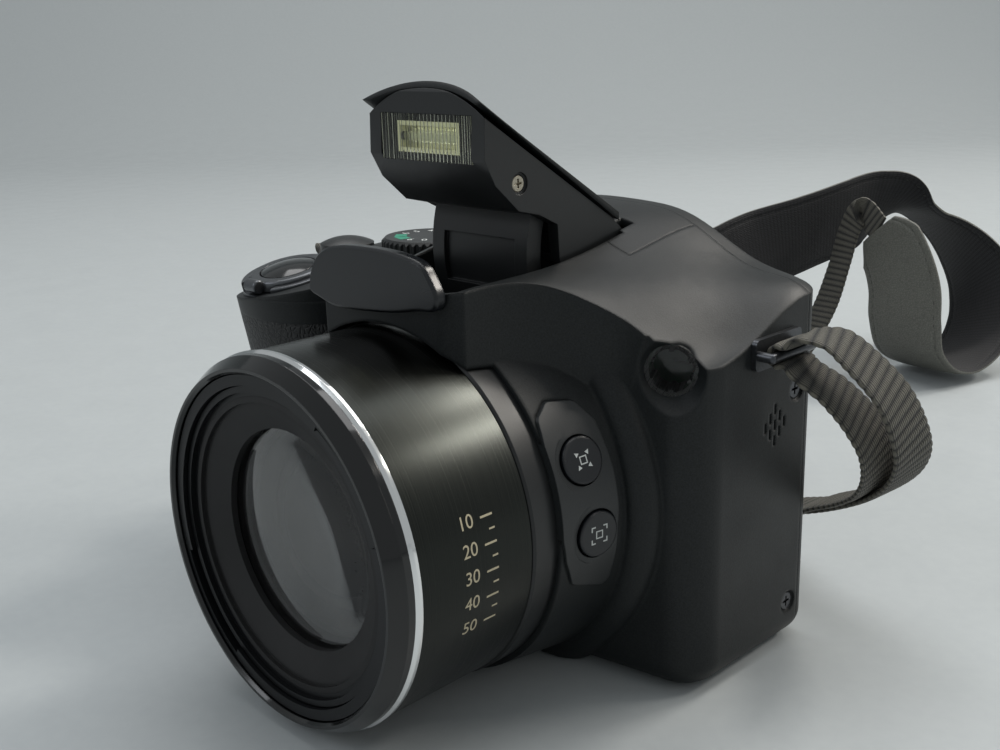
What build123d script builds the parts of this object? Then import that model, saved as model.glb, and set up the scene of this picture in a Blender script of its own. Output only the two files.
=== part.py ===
from build123d import *
import math
import os

# Bridge camera with a retracting zoom lens, a raised flash and a neck strap.
# Millimetres, Z up, lens looking along -Y, X towards the camera's left hand.
# Sizes are laid out from the middle of the body's base at its back face,
# and the finished pieces are moved so that the tripod socket is the origin.

# Whole body
BODY_WIDTH = 120.0
BODY_HEIGHT = 81.7
CROWN_SPAN = 81.7
BODY_DEPTH = 41.0
FRONT_CORNER_R = 8.0
BACK_CORNER_R = 4.0
BASE_EDGE_R = 5.0
WALL = 1.8
CROWN_WALL = 1.7
SEAM_DEPTH = 4.0
OVERRUN = 30.0
RUN_GAP = 0.2
BUTTON_GAP = 0.3

# Lens
LENS_X = 12.5
LENS_Z = 33.4
SLEEVE_R = 32.9
SLEEVE_WALL = 1.5
SLEEVE_BACK = 62.0
SLEEVE_FRONT = 86.2
REAR_RING_R = 33.3
COLLAR_FRONT = 56.5
COLLAR_R = 34.3
COLLAR_FLARE_R = 4.5
COLLAR_TAPER = 1.7
FLARE_BACK = 37.5
CHROME_R = 33.2
CHROME_LENGTH = 1.2
BEZEL_LENGTH = 3.9
BEZEL_BEVEL = 1.7
GUIDE_WALL = 1.3
GUIDE_BACK = 45.0
GUIDE_FRONT_INSET = 1.4
BARREL_WALL = 1.9
BARREL_INSET = 0.9
OUTER_BARREL_LENGTH = 40.0
INNER_BARREL_LENGTH = 35.0
INNER_BARREL_INSET = 0.8
BAYONET_DEPTH = 1.6
BAYONET_ARC = 42.0
BAYONET_TURN = 38.0
GLASS_R = 20.2
GLASS_EDGE = 3.2
GLASS_SAG = 2.4
GLASS_INSET = 2.6
CELL_THROAT_R = 16.0
CELL_LENGTH = 12.0
CELL_STEPS = 4
NAME_RING_WALL = 1.2
STEP_WIDTH = 1.1
STEP_DEPTH = 0.9
IRIS_R = 7.0
IRIS_THICK = 1.6
REAR_CELL_R = 15.0
REAR_CELL_LENGTH = 14.0
REAR_CELL_FRONT = 38.2
LENS_FRAME_THICK = 2.0
LENS_FRAME_DROP = 24.7
LENS_FRAME_TOP = BODY_HEIGHT - LENS_FRAME_DROP
REAR_CELL_WALL = 2.5

# Grip
GRIP_FRONT = 52.0
GRIP_INNER_X = 25.0
GRIP_SKIN = 0.8
GRIP_SKIN_DROP = 24.2
GRIP_SKIN_TOP = BODY_HEIGHT - GRIP_SKIN_DROP
GRIP_SKIN_BOTTOM = 3.2
GRIP_SKIN_BACK = 22.0

# Nose above the lens and the pocket of the flash
NOSE_LEFT = 8.0
NOSE_RIGHT = 31.0
NOSE_FRONT = 64.0
NOSE_FOOT_SPREAD = 9.0
NOSE_TOP_SPREAD = 24.0
NOSE_FLARE_Y = 38.5
POCKET_LEFT = 5.5
POCKET_RIGHT = 29.2
POCKET_FRONT = 61.8
POCKET_BACK = 19.0
POCKET_DEPTH = 15.4
POCKET_FLOOR = BODY_HEIGHT - POCKET_DEPTH
POCKET_WELL_FRONT = 47.0
POCKET_WALL = 1.4
WELL_DEPTH = 14.3
WELL_FLOOR = POCKET_FLOOR - WELL_DEPTH
TOP_SEAM_DROP = 19.2
TOP_SEAM_Z = BODY_HEIGHT - TOP_SEAM_DROP
HUMP_SEAM_X = 34.5
HUMP_SEAM_Y = 24.0
HUMP_SEAM_DROP = 9.2
HUMP_SEAM_Z = BODY_HEIGHT - HUMP_SEAM_DROP
PLATE_THICK = 2.0
PLATE_SKEW = 4.0
PLATE_EDGE_R = 0.9

# Flash
HINGE_Y = 14.5
HINGE_DROP = 5.9
HINGE_Z = BODY_HEIGHT - HINGE_DROP
HINGE_PIN_R = 1.1
HINGE_FIT = 0.05
HINGE_EAR_R = 2.4
FLASH_LEFT = 1.6
FLASH_RIGHT = 28.0
FLASH_ANGLE = 34.0
FLASH_TRAVEL = 34.5
ARM_THICK = 2.4
COVER_THICK = 1.5
COVER_LIP = 1.1
WINDOW_WIDTH = 23.4
WINDOW_HEIGHT = 8.0
WINDOW_THICK = 1.4
WINDOW_RISE = 22.2
WINDOW_Z = HINGE_Z + WINDOW_RISE
TUBE_R = 0.8
REFLECTOR_R = 2.7
REFLECTOR_WIDTH = 16.0
ROOF_INNER_WALL = 0.8
REFLECTOR_WALL = 0.8
CLOSED_FRONT_Y = 63.3
NECK_OUTER_R = 27.0
NECK_INNER_R = 23.4
NECK_LEFT = 4.0
NECK_RIGHT = 25.6
NECK_UP = 28.0
NECK_DOWN = 24.0

# Controls on the top
DECK_BUTTON_R = 6.2
POWER_X = 49.0
POWER_Y = 24.0
POWER_TRAVEL = 0.6
DIAL_X = 27.0
DIAL_Y = 18.5
DIAL_R = 10.2
DIAL_HEIGHT = 4.6
DIAL_DROP = 9.3
DIAL_TOP = BODY_HEIGHT - DIAL_DROP
DIAL_KNURLS = 40
SHUTTER_X = 45.2
SHUTTER_Y = 43.0
SHUTTER_DROP = 17.1
SHUTTER_Z = BODY_HEIGHT - SHUTTER_DROP
SHUTTER_TILT = 12.0
SHUTTER_R = 6.0
SHUTTER_TRAVEL = 1.0
LEVER_R = 8.6
LEVER_HEIGHT = 2.2
LEVER_NUB_R = 1.5
LEVER_NUB_LENGTH = 4.2
RIM_R = 10.6
RIM_HEIGHT = 1.6

# Zoom assist panel and lamp
PANEL_R = 35.7
PANEL_SINK = 1.6
PANEL_PROUD = 0.5
PANEL_TILT = 9.0
ASSIST_BUTTON_R = 4.1
ASSIST_TRAVEL = 0.5
ASSIST_PROUD = 0.35
ASSIST_DISH_R = 5.4
ASSIST_UPPER_ANGLE = 20.7
ASSIST_UPPER_Y = 50.2
ASSIST_LOWER_ANGLE = -0.8
ASSIST_LOWER_Y = 48.9
LAMP_X = 52.5
LAMP_Y = 34.8
LAMP_DROP = 22.4
LAMP_Z = BODY_HEIGHT - LAMP_DROP
LAMP_TURN = 30.0
LAMP_R = 4.6
LAMP_WALL = 0.8
LAMP_DEPTH = 6.5

# Back
LCD_WIDTH = 70.0
LCD_HEIGHT = 54.0
LCD_X = 19.0
LCD_Z = 35.0
LCD_GLASS = 1.2
LCD_PANEL_THICK = 2.6
LCD_PANEL_INSET = 1.5
KEY_THICK = 3.0
KEY_PROUD = 0.6
KEY_TRAVEL = 0.4
KEY_R = 3.6
PAD_X = 38.5
PAD_Z = 24.5
PAD_R = 9.6
PAD_TILT = 2.0
SET_R = 4.2
THUMB_X = 45.0
THUMB_DROP = 24.7
THUMB_Z = BODY_HEIGHT - THUMB_DROP
THUMB_WIDTH = 20.0
THUMB_HEIGHT = 15.0
THUMB_THICK = 1.2
THUMB_SINK = 0.8

# Base
SOCKET_R = 3.175
SOCKET_DEPTH = 5.5
SOCKET_BODY_R = 6.0
SOCKET_Y = 22.0
DOOR_WIDTH = 20.5
DOOR_DEPTH = 35.2
DOOR_X = 41.25
DOOR_Y = 26.4
DOOR_CORNER_R = 5.0
DOOR_THICK = 1.6
DOOR_GAP = 0.3
DOOR_PIN_R = 0.5
DOOR_PIN_FIT = 0.05
DOOR_PIN_INSET = 0.9
DOOR_PIN_END = 1.2
LATCH_LENGTH = 8.0
LATCH_WIDTH = 4.0
LATCH_TRAVEL = 2.0
LATCH_SINK = 0.3
BATTERY_THICK = 7.0
BATTERY_WIDTH = 34.4
BATTERY_HEIGHT = 41.8
BATTERY_X = 46.2
CARD_THICK = 2.1
CARD_WIDTH = 24.0
CARD_HEIGHT = 32.0
CARD_X = 35.2
BAY_WALL = 1.0
BAY_GAP = 0.3
BAY_FLOOR = 3.0
BAY_FLANGE = 3.0
BAY_INNER_X = 31.2

# Sides
LUG_Y = 15.0
LUG_DROP = 21.3
LUG_Z = BODY_HEIGHT - LUG_DROP
LUG_REACH = 4.6
LUG_WIDTH = 12.6
LUG_WIRE_R = 0.9
LUG_PLATE_THICK = 1.0
LUG_PLATE_HEIGHT = 5.6
SIDE_SCREW_R = 1.9
SIDE_SCREW_Y = 7.0
SIDE_SCREW_LOW = 8.3
SIDE_SCREW_DROP = 30.7
SIDE_SCREW_HIGH = BODY_HEIGHT - SIDE_SCREW_DROP
SCREW_SINK = 0.4
SCREW_HEAD = 1.2
SPEAKER_Y = 13.9
SPEAKER_Z = 45.9
SLOT_WIDTH = 0.7
SLOT_HEIGHT = 2.0
SLOT_PITCH = 2.2
FLAP_Y = 13.0
FLAP_Z = 34.5
FLAP_WIDTH = 12.0
FLAP_HEIGHT = 26.0
FLAP_THICK = 1.4
SOCKET_FLANGE = 2.0
SOCKET_FLANGE_THICK = 1.2
SOCKET_BLOCK_DEPTH = 6.0
SOCKET_OPENING = 3.0
SOCKET_UPPER_HEIGHT = 9.4
SOCKET_LOWER_HEIGHT = 7.3
SOCKET_TONGUE = 0.6

# Inner boards and drives
BOARD_THICK = 1.2
MAIN_BOARD_Y = 7.0
MAIN_BOARD_WIDTH = 70.0
MAIN_BOARD_HEIGHT = 44.0
SENSOR_Y = 16.0
SENSOR_SIZE = 22.0
SENSOR_CHIP = 9.0
SENSOR_CHIP_THICK = 1.0
FRAME_THICK = 1.0

# Strap
WEB_WIDTH = 10.0
WEB_THICK = 1.3
PAD_BAND_WIDTH = 29.0
PAD_BAND_THICK = 2.6
ADJUSTER_WIDTH = 15.0
ADJUSTER_LENGTH = 13.0
ADJUSTER_THICK = 5.4

HALF = BODY_WIDTH / 2

# The nose's left side in plan: place across, as a share of its spread, and
# place along, as a share of the run from the plate to the body.
NOSE_SIDE_shares = [(0.08, 0.35), (0.3, 0.68), (0.64, 0.9)]

# Crown of the body: heights over the base as shares of the body's height,
# one row for each distance from the back face, from back to front.
CROWN_X_shares = [-1.05, -0.8, -0.533, -0.317, -0.15, 0.017, 0.208, 0.4, 0.55, 0.7, 0.85, 1.05]
CROWN_Y_shares = [-0.05, 0.195, 0.585, 1.024, 1.62]
CROWN_Z_shares = [
    [0.783, 0.820, 0.838, 0.875, 0.949, 0.991, 1.000, 0.991, 0.960, 0.906, 0.863, 0.777],
    [0.796, 0.832, 0.848, 0.881, 0.955, 0.994, 1.000, 0.994, 0.966, 0.907, 0.867, 0.789],
    [0.783, 0.824, 0.840, 0.863, 0.930, 0.965, 0.975, 0.965, 0.931, 0.889, 0.825, 0.765],
    [0.747, 0.783, 0.808, 0.832, 0.881, 0.912, 0.917, 0.918, 0.914, 0.867, 0.791, 0.734],
    [0.698, 0.734, 0.771, 0.808, 0.869, 0.901, 0.905, 0.905, 0.900, 0.845, 0.759, 0.698],
]

# The grip's levels from the base up, as shares of the body's height, with how
# far each stands in from the side and how far it comes forward.
GRIP_Z_shares = [0.0, 0.17, 0.39, 0.59, 0.76, 0.98]
GRIP_OUT_shares = [0.025, 0.0, 0.014, 0.004, 0.0, 0.0]
GRIP_FRONT_shares = [0.945, 0.97, 0.965, 0.995, 1.045, 1.035]

# Outline of the bare front plate: across from the lens axis and height over
# it, as shares of the sleeve's radius.
NOSE_PLATE_shares = [
    (-0.57, 1.155), (-0.55, 1.243), (-0.5, 1.325), (-0.43, 1.377), (-0.344, 1.407), (-0.152, 1.429),
    (0.094, 1.432), (0.289, 1.416), (0.398, 1.38), (0.453, 1.313), (0.495, 1.219), (0.474, 1.173),
    (0.383, 1.152), (0.228, 1.125), (-0.015, 1.094), (-0.228, 1.079), (-0.395, 1.085), (-0.5, 1.113),
]

# Outline of the zoom assist panel: distance forward of the back and height
# over the lens axis, as shares of the panel's radius.
PANEL_shares = [
    (1.59, 0.42), (1.56, 0.56), (1.47, 0.62), (1.32, 0.6), (1.25, 0.5), (1.23, 0.27),
    (1.23, 0.1), (1.24, -0.12), (1.262, -0.33), (1.5, -0.25), (1.56, -0.11), (1.6, 0.1),
]
PANEL_CORNER_share = 0.045

# Side profile of the raised flash head: distance forward of the hinge and
# height over it, as shares of the head's length, clockwise from the top front.
FLASH_LENGTH = 36.1
FLASH_shares = [
    (1.07, 0.96), (0.158, 0.35), (0.158, 0.138), (0.06, 0.055), (0.0, -0.05), (0.17, -0.012),
    (0.579, -0.017), (0.59, 0.172), (0.717, 0.235), (0.86, 0.27), (1.01, 0.404), (1.078, 0.529),
    (1.07, 0.706),
]
FRONT_share = 1.078
# Heights of the head's roof over the hinge, as shares of its length: at the
# sides and along the middle, at the front and at the rear.
ROOF_FRONT_shares = (0.79, 0.93)
ROOF_REAR_shares = (0.18, 0.205)
ROOF_REAR_share = 0.14

# The round keys beside the screen: place across, as a share of the half
# width, and place up, in radii of the key over or under the four-way pad.
KEY_shares = {
    "movie_key": (-0.4, 9.53),
    "playback_key": (-0.8, 4.88),
    "wireless_key": (-0.47, 4.88),
    "display_key": (-0.8, -4.42),
    "menu_key": (-0.47, -4.42),
}


def at_lens(shape):
    """Move a shape built about the Y axis on to the lens axis."""
    return Pos(LENS_X, 0, LENS_Z) * shape


def turned(points):
    """Revolve a closed profile of (radius, distance forward of the back) points."""
    profile = make_face(Polyline(*[(r, -y) for r, y in points], close=True))
    return at_lens(revolve(profile, Axis.Y))


def tube(outer, inner, front, back):
    """A plain tube on the lens axis between two distances from the back."""
    return turned([(inner, back), (outer, back), (outer, front), (inner, front)])


def nearest(shape, x, y):
    """The vertex of a flat face closest to a place on it."""
    return min(shape.vertices(), key=lambda v: (v.X - x) ** 2 + (v.Y - y) ** 2)


def box(x0, x1, y0, y1, z0, z1):
    """A box between two corners."""
    size = Box(x1 - x0, y1 - y0, z1 - z0)
    return Pos((x0 + x1) / 2, (y0 + y1) / 2, (z0 + z1) / 2) * size


def rod(start, direction, radius, length):
    """A round bar from a point along a direction."""
    plane = Plane(origin=start, z_dir=direction)
    return extrude(plane * Circle(radius), length)


def crown(drop):
    """Everything under the crown surface, lowered by a wall."""
    rows = []
    for y_share, z_row in zip(CROWN_Y_shares, CROWN_Z_shares):
        y = -y_share * BODY_DEPTH
        rows.append(
            [
                Vector(x_share * HALF, y, BODY_HEIGHT - (1 - z_share) * CROWN_SPAN - drop)
                for x_share, z_share in zip(CROWN_X_shares, z_row)
            ]
        )
    top = Face.make_surface_from_array_of_points(rows, tol=WALL / 30, min_deg=3, max_deg=5)
    return Solid.extrude(top, Vector(0, 0, -BODY_HEIGHT - OVERRUN))


def slab(inset):
    """The box part of the body with its rounded corners and base edge."""
    half, depth = HALF - inset, BODY_DEPTH - inset
    side = depth - BODY_DEPTH * 0.11
    right = HALF / 2
    middle = [(half, -side), (right, -depth), (-right, -depth), (-half, -side)]
    plan = make_face(Polyline((-half, -inset), (half, -inset), *middle, close=True))
    front = [nearest(plan, half, -side), nearest(plan, -half, -side)]
    plan = fillet(front, FRONT_CORNER_R - inset)
    back = [nearest(plan, half, -inset), nearest(plan, -half, -inset)]
    plan = fillet(back, BACK_CORNER_R - inset)
    block = Pos(0, 0, inset) * extrude(plan, BODY_HEIGHT + OVERRUN)
    return fillet(block.edges().group_by(Axis.Z)[0], BASE_EDGE_R - inset)


def grip_section(z, out, front, inset):
    """One level of the grip's plan: outer side, rounded front, inner side."""
    x0 = -HALF + out + inset
    inner = -GRIP_INNER_X - inset
    y_front = -(front - inset)
    span = inner - x0
    back = -BODY_DEPTH * 0.15 - inset
    deep = y_front + inset
    points = [
        (x0, back),
        (x0, y_front * 0.66),
        (x0 + span * 0.1, y_front * 0.915),
        (x0 + span * 0.4, y_front),
        (x0 + span * 0.78, y_front * 0.955),
        (inner - span * 0.04, y_front * 0.83),
        (inner, deep * 0.57),
    ]
    curve = Spline(*points, tangents=[(0, -1), (0.3, 1)])
    return Pos(0, 0, z) * make_face(curve + Line(points[-1], points[0]))


def grip(inset):
    """The hand grip on the right-hand side of the camera."""
    sections = []
    for z_share, out, front in zip(GRIP_Z_shares, GRIP_OUT_shares, GRIP_FRONT_shares):
        z = z_share * BODY_HEIGHT
        if z_share == 0:
            z = inset
        sections.append(grip_section(z, out * HALF, front * GRIP_FRONT, inset))
    return loft(sections)


def nose_plan(inset, spread):
    """Plan of the nose from the body to the bare plate; its left side spreads out."""
    left, right = -NOSE_LEFT + inset, NOSE_RIGHT - inset
    front = -NOSE_FRONT + inset
    corner = (right, front + PLATE_SKEW / 2)
    end = (NOSE_RIGHT + spread - inset, -NOSE_FLARE_Y + inset)
    run = NOSE_FRONT - NOSE_FLARE_Y - PLATE_SKEW / 2
    start = front + PLATE_SKEW / 2
    middle = [(right + spread * across, start + run * along) for across, along in NOSE_SIDE_shares]
    side = Spline(corner, *middle, end, tangents=[(0.08, 1), (1, 0.2)])
    rest = Polyline(
        end,
        (end[0], -POCKET_BACK),
        (left, -POCKET_BACK),
        (left, front + PLATE_SKEW),
        (left + PLATE_SKEW, front),
        (right - PLATE_SKEW, front),
        corner,
    )
    return make_face(side + rest)


def nose(inset):
    """The nose block above the lens axis, wider at the top than at its foot."""
    foot = Pos(0, 0, LENS_Z) * nose_plan(inset, NOSE_FOOT_SPREAD)
    top = Pos(0, 0, BODY_HEIGHT) * nose_plan(inset, NOSE_TOP_SPREAD)
    return loft([foot, top])


def collar(grow):
    """The round collar round the lens, with its hollow flare, grown by a skin."""
    start, front, back = COLLAR_R + COLLAR_TAPER + grow, -COLLAR_FRONT, -FLARE_BACK - grow
    turn = COLLAR_FLARE_R - grow
    lip = Line((0, front), (COLLAR_R + grow, front))
    side = Line((COLLAR_R + grow, front), (start, back - turn))
    flare = RadiusArc((start, back - turn), (start + turn, back), -turn)
    end = -BODY_DEPTH / 2
    inner = Polyline((start + turn, back), (start + turn, end), (0, end), (0, front))
    return at_lens(revolve(make_face(lip + side + flare + inner), Axis.Y))


def body_form():
    """The whole outer form of the housing, before it is hollowed."""
    form = slab(0) + nose(0) + grip(0) + collar(0)
    floor = box(-BODY_WIDTH, BODY_WIDTH, -BODY_WIDTH, BODY_WIDTH, 0, BODY_WIDTH)
    return form & crown(0) & floor


def body_hollow():
    """The room inside the housing."""
    behind = nose(WALL) & box(-HALF, HALF, -BODY_DEPTH, 0, 0, BODY_WIDTH)
    room = slab(WALL) + behind + grip(WALL + GRIP_SKIN)
    return room & crown(CROWN_WALL)


def pocket_space():
    """The pocket that the flash folds into, with its open well at the back."""
    shelf = box(-POCKET_LEFT, POCKET_RIGHT, -POCKET_FRONT, -POCKET_BACK, POCKET_FLOOR, BODY_WIDTH)
    well = box(-POCKET_LEFT, POCKET_RIGHT, -POCKET_WELL_FRONT, -POCKET_BACK, WELL_FLOOR, BODY_WIDTH)
    return shelf, well


def pocket_tub(form):
    """The walls of the flash pocket, out to the outer form."""
    shelf, well = pocket_space()
    wall = POCKET_WALL
    outer = box(
        -POCKET_LEFT - wall,
        POCKET_RIGHT + wall,
        -POCKET_FRONT - wall,
        -POCKET_BACK + wall,
        POCKET_FLOOR - wall,
        BODY_WIDTH,
    )
    return (outer & form) - shelf - well


def lens_side(angle, radius, y, lean):
    """A frame on the collar's side: origin on a radius, Z pointing out and leaning forward."""
    turn, tip = math.radians(angle), math.radians(lean)
    out = Vector(math.cos(turn), 0, math.sin(turn))
    facing = out * math.cos(tip) - Vector(0, math.sin(tip), 0)
    origin = Vector(LENS_X, -y, LENS_Z) + out * radius
    return Plane(origin=origin, z_dir=facing, x_dir=(0, math.cos(tip), 0))


def panel_outline(grow):
    """The panel's outline seen from the side, pushed through the collar."""
    points = [(-d * PANEL_R, LENS_Z + h * PANEL_R) for d, h in PANEL_shares]
    face = make_face(Polyline(*points, close=True))
    face = fillet(face.vertices(), PANEL_CORNER_share * PANEL_R)
    if grow:
        face = offset(face, grow)
    plane = Plane(origin=(LENS_X, 0, 0), x_dir=(0, 1, 0), z_dir=(1, 0, 0))
    return extrude(plane * face, HALF)


def assist_frames():
    """The frames of the two zoom assist buttons on the panel's skin."""
    upper = lens_side(ASSIST_UPPER_ANGLE, PANEL_R, ASSIST_UPPER_Y, PANEL_TILT)
    lower = lens_side(ASSIST_LOWER_ANGLE, PANEL_R, ASSIST_LOWER_Y, PANEL_TILT)
    return upper, lower


def assist_panel():
    """The raised panel on the collar, dished round its two buttons."""
    panel = (collar(PANEL_PROUD) - collar(PANEL_PROUD - PANEL_SINK)) & panel_outline(0)
    for frame in assist_frames():
        dish = frame * Pos(0, 0, -ASSIST_PROUD) * Cylinder(
            ASSIST_DISH_R, PANEL_SINK * 2, align=(Align.CENTER, Align.CENTER, Align.MIN)
        )
        hole = frame * Cylinder(ASSIST_BUTTON_R + BUTTON_GAP, HALF / 2)
        panel = panel - dish - hole
    return panel


def assist_button(frame):
    """One round zoom assist button with a softened edge."""
    length = PANEL_SINK + ASSIST_PROUD + ASSIST_TRAVEL
    button = Pos(0, 0, ASSIST_PROUD - length / 2) * Cylinder(ASSIST_BUTTON_R, length)
    rim = button.edges().group_by(Axis.Z)[-1]
    return frame * fillet(rim, ASSIST_PROUD)


def lamp_frame():
    """The frame of the lamp: origin at its mouth, Z pointing out of it."""
    turn = math.radians(LAMP_TURN)
    out = Vector(math.sin(turn), -math.cos(turn), 0)
    return Plane(origin=(LAMP_X, -LAMP_Y, LAMP_Z), z_dir=out, x_dir=(0, 0, 1))


def lamp_boss():
    """The solid boss round the lamp's cup."""
    long = LAMP_DEPTH + WALL * 2
    boss = Cylinder(LAMP_R + WALL, long, align=(Align.CENTER, Align.CENTER, Align.MAX))
    return lamp_frame() * Pos(0, 0, WALL * 2) * boss


def lamp_window():
    """The clear cup of the front lamp with its small inner ribs."""
    up = (Align.CENTER, Align.CENTER, Align.MAX)
    cup = Cylinder(LAMP_R, LAMP_DEPTH, align=up)
    cup = cup - Pos(0, 0, LAMP_WALL) * Cylinder(LAMP_R - LAMP_WALL, LAMP_DEPTH, align=up)
    rib = Box(LAMP_WALL, LAMP_WALL, LAMP_DEPTH - LAMP_WALL, align=up)
    for place in PolarLocations(LAMP_R - LAMP_WALL, 6):
        cup = cup + place * rib
    return lamp_frame() * cup


def deck_hole(x, y, radius):
    """A round hole down through the top deck."""
    return Pos(-x, -y, TOP_SEAM_Z - WALL * 2) * Cylinder(
        radius, BODY_HEIGHT / 2, align=(Align.CENTER, Align.CENTER, Align.MIN)
    )


def shutter_frame():
    """The frame of the shutter button on the sloping top of the grip."""
    tilt = math.radians(SHUTTER_TILT)
    normal = (0, -math.sin(tilt), math.cos(tilt))
    return Plane(origin=(-SHUTTER_X, -SHUTTER_Y, SHUTTER_Z), z_dir=normal, x_dir=(1, 0, 0))


def shutter_base():
    """The fixed dish under the zoom lever with its satin rim."""
    top = (Align.CENTER, Align.CENTER, Align.MAX)
    disc = Cylinder(RIM_R, RIM_HEIGHT * 2, align=top)
    rim = Cylinder(RIM_R, RIM_HEIGHT, align=(Align.CENTER, Align.CENTER, Align.MIN))
    rim = rim - Cylinder(LEVER_R + BUTTON_GAP, RIM_HEIGHT * 3)
    rim = fillet(rim.edges().group_by(Axis.Z)[-1], RIM_HEIGHT / 4)
    bore = Cylinder(SHUTTER_R + BUTTON_GAP, BODY_WIDTH)
    gate = Pos(0, -RIM_R, RIM_HEIGHT / 2) * Box(LEVER_NUB_LENGTH * 2.6, RIM_R, RIM_HEIGHT)
    return shutter_frame() * (disc + rim - gate - bore)


def zoom_lever():
    """The ring lever round the shutter button, with its front nub."""
    base = (Align.CENTER, Align.CENTER, Align.MIN)
    ring = Cylinder(LEVER_R, LEVER_HEIGHT, align=base)
    ring = fillet(ring.edges().group_by(Axis.Z)[-1], LEVER_HEIGHT / 3)
    bore = Cylinder(SHUTTER_R + BUTTON_GAP, BODY_WIDTH)
    nub_z = LEVER_HEIGHT / 2 + LEVER_NUB_R / 4
    nub = Pos(0, -LEVER_R - LEVER_NUB_R / 2, nub_z) * Rot(0, 90, 0) * Cylinder(
        LEVER_NUB_R, LEVER_NUB_LENGTH
    )
    nub = fillet(nub.edges().filter_by(GeomType.CIRCLE), LEVER_NUB_R / 3)
    return shutter_frame() * Pos(0, 0, RUN_GAP) * (ring + nub - bore)


def cap_arc(radius, edge, rise):
    """Half of a round cap's section, from its edge up to the axis."""
    ball = (radius**2 + rise**2) / (2 * rise)
    half_turn = math.asin(radius / ball) / 2
    middle = (ball * math.sin(half_turn), edge + rise - ball * (1 - math.cos(half_turn)))
    return ThreePointArc((radius, edge), middle, (0, edge + rise))


def dome_button(radius, top, bottom, crown_height):
    """A round button with a domed top, built about the Z axis."""
    shoulder = top - crown_height
    side = Polyline((0, bottom), (radius, bottom), (radius, shoulder))
    cap = cap_arc(radius, shoulder, crown_height)
    profile = make_face(side + cap + Line((0, top), (0, bottom)))
    return revolve(Plane.XZ * profile, Axis.Z)


def shutter_button():
    """The glossy shutter button, a shallow dome in the lever."""
    top = LEVER_HEIGHT + RUN_GAP + SHUTTER_TRAVEL
    return shutter_frame() * dome_button(SHUTTER_R, top, -RIM_HEIGHT * 2, SHUTTER_TRAVEL)


def power_button():
    """The round domed power button on the deck."""
    top = DIAL_TOP - DIAL_HEIGHT / 3
    shape = dome_button(DECK_BUTTON_R, top, top - DIAL_HEIGHT * 1.6, DIAL_HEIGHT / 3)
    return Pos(-POWER_X, -POWER_Y, 0) * shape


def mode_dial():
    """The knurled mode dial with its bevelled edge and spindle."""
    root = DIAL_R * 0.955
    points = []
    for k in range(DIAL_KNURLS * 4):
        turn = 2 * math.pi * k / (DIAL_KNURLS * 4)
        r = DIAL_R if k % 4 in (1, 2) else root
        points.append((r * math.cos(turn), r * math.sin(turn)))
    disc = extrude(make_face(Polyline(*points, close=True)), DIAL_HEIGHT)
    bevel = Cone(DIAL_R * 1.5, DIAL_R * 0.5, DIAL_R, align=(Align.CENTER, Align.CENTER, Align.MIN))
    disc = disc & Pos(0, 0, DIAL_HEIGHT - DIAL_R * 0.58) * bevel
    spindle = Cylinder(DIAL_R / 4, DIAL_HEIGHT, align=(Align.CENTER, Align.CENTER, Align.MAX))
    return Pos(-DIAL_X, -DIAL_Y, DIAL_TOP - DIAL_HEIGHT) * (disc + spindle)


def back_plate(width, height, thick, radius):
    """A rounded plate facing the back, its outer face at the local origin."""
    face = RectangleRounded(width, height, radius)
    plane = Plane(origin=(0, 0, 0), x_dir=(-1, 0, 0), z_dir=(0, 1, 0))
    return extrude(plane * face, -thick)


def back_rod(radius, thick):
    """A round plate facing the back, its outer face at the local origin."""
    plane = Plane(origin=(0, 0, 0), x_dir=(-1, 0, 0), z_dir=(0, 1, 0))
    return extrude(plane * Circle(radius), -thick)


def key_place(name):
    """Where a key stands on the back."""
    across, up = KEY_shares[name]
    return Pos(across * HALF, 0, PAD_Z + up * KEY_R)


def back_key(name):
    """One round key, slightly proud of the back, with a softened rim."""
    key = Pos(0, KEY_PROUD, 0) * back_rod(KEY_R, KEY_THICK)
    key = fillet(key.edges().group_by(Axis.Y)[-1], KEY_PROUD / 2)
    return key_place(name) * key


def direction_pad():
    """The four-way ring round the set button, dished on top."""
    ring = Pos(0, KEY_PROUD, 0) * back_rod(PAD_R, KEY_THICK)
    ring = chamfer(ring.edges().group_by(Axis.Y)[-1], KEY_PROUD)
    ring = ring - Pos(0, HALF / 2, 0) * back_rod(SET_R + BUTTON_GAP, HALF)
    return Pos(-PAD_X, 0, PAD_Z) * ring


def pad_carrier():
    """The rocking plate behind the four-way ring."""
    plate = Pos(0, KEY_PROUD - KEY_THICK - BUTTON_GAP * 2, 0) * back_rod(PAD_R * 0.9, BOARD_THICK)
    plate = plate - Pos(0, HALF / 2, 0) * back_rod(SET_R + BUTTON_GAP * 2, HALF)
    return Pos(-PAD_X, 0, PAD_Z) * plate


def set_button():
    """The round button in the middle of the four-way ring."""
    key = Pos(0, KEY_PROUD, 0) * back_rod(SET_R, KEY_THICK + BOARD_THICK)
    key = fillet(key.edges().group_by(Axis.Y)[-1], KEY_PROUD / 2)
    return Pos(-PAD_X, 0, PAD_Z) * key


def thumb_rest():
    """The soft pad for the thumb, let into the back."""
    pad = Pos(0, THUMB_THICK - THUMB_SINK, 0) * back_plate(
        THUMB_WIDTH, THUMB_HEIGHT, THUMB_THICK, THUMB_HEIGHT / 3
    )
    pad = fillet(pad.edges().group_by(Axis.Y)[-1], (THUMB_THICK - THUMB_SINK) / 2)
    return Pos(-THUMB_X, 0, THUMB_Z) * pad


def lcd_window():
    """The glass over the screen, flush with the back."""
    return Pos(LCD_X, 0, LCD_Z) * back_plate(LCD_WIDTH, LCD_HEIGHT, LCD_GLASS, LCD_GLASS)


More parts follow.
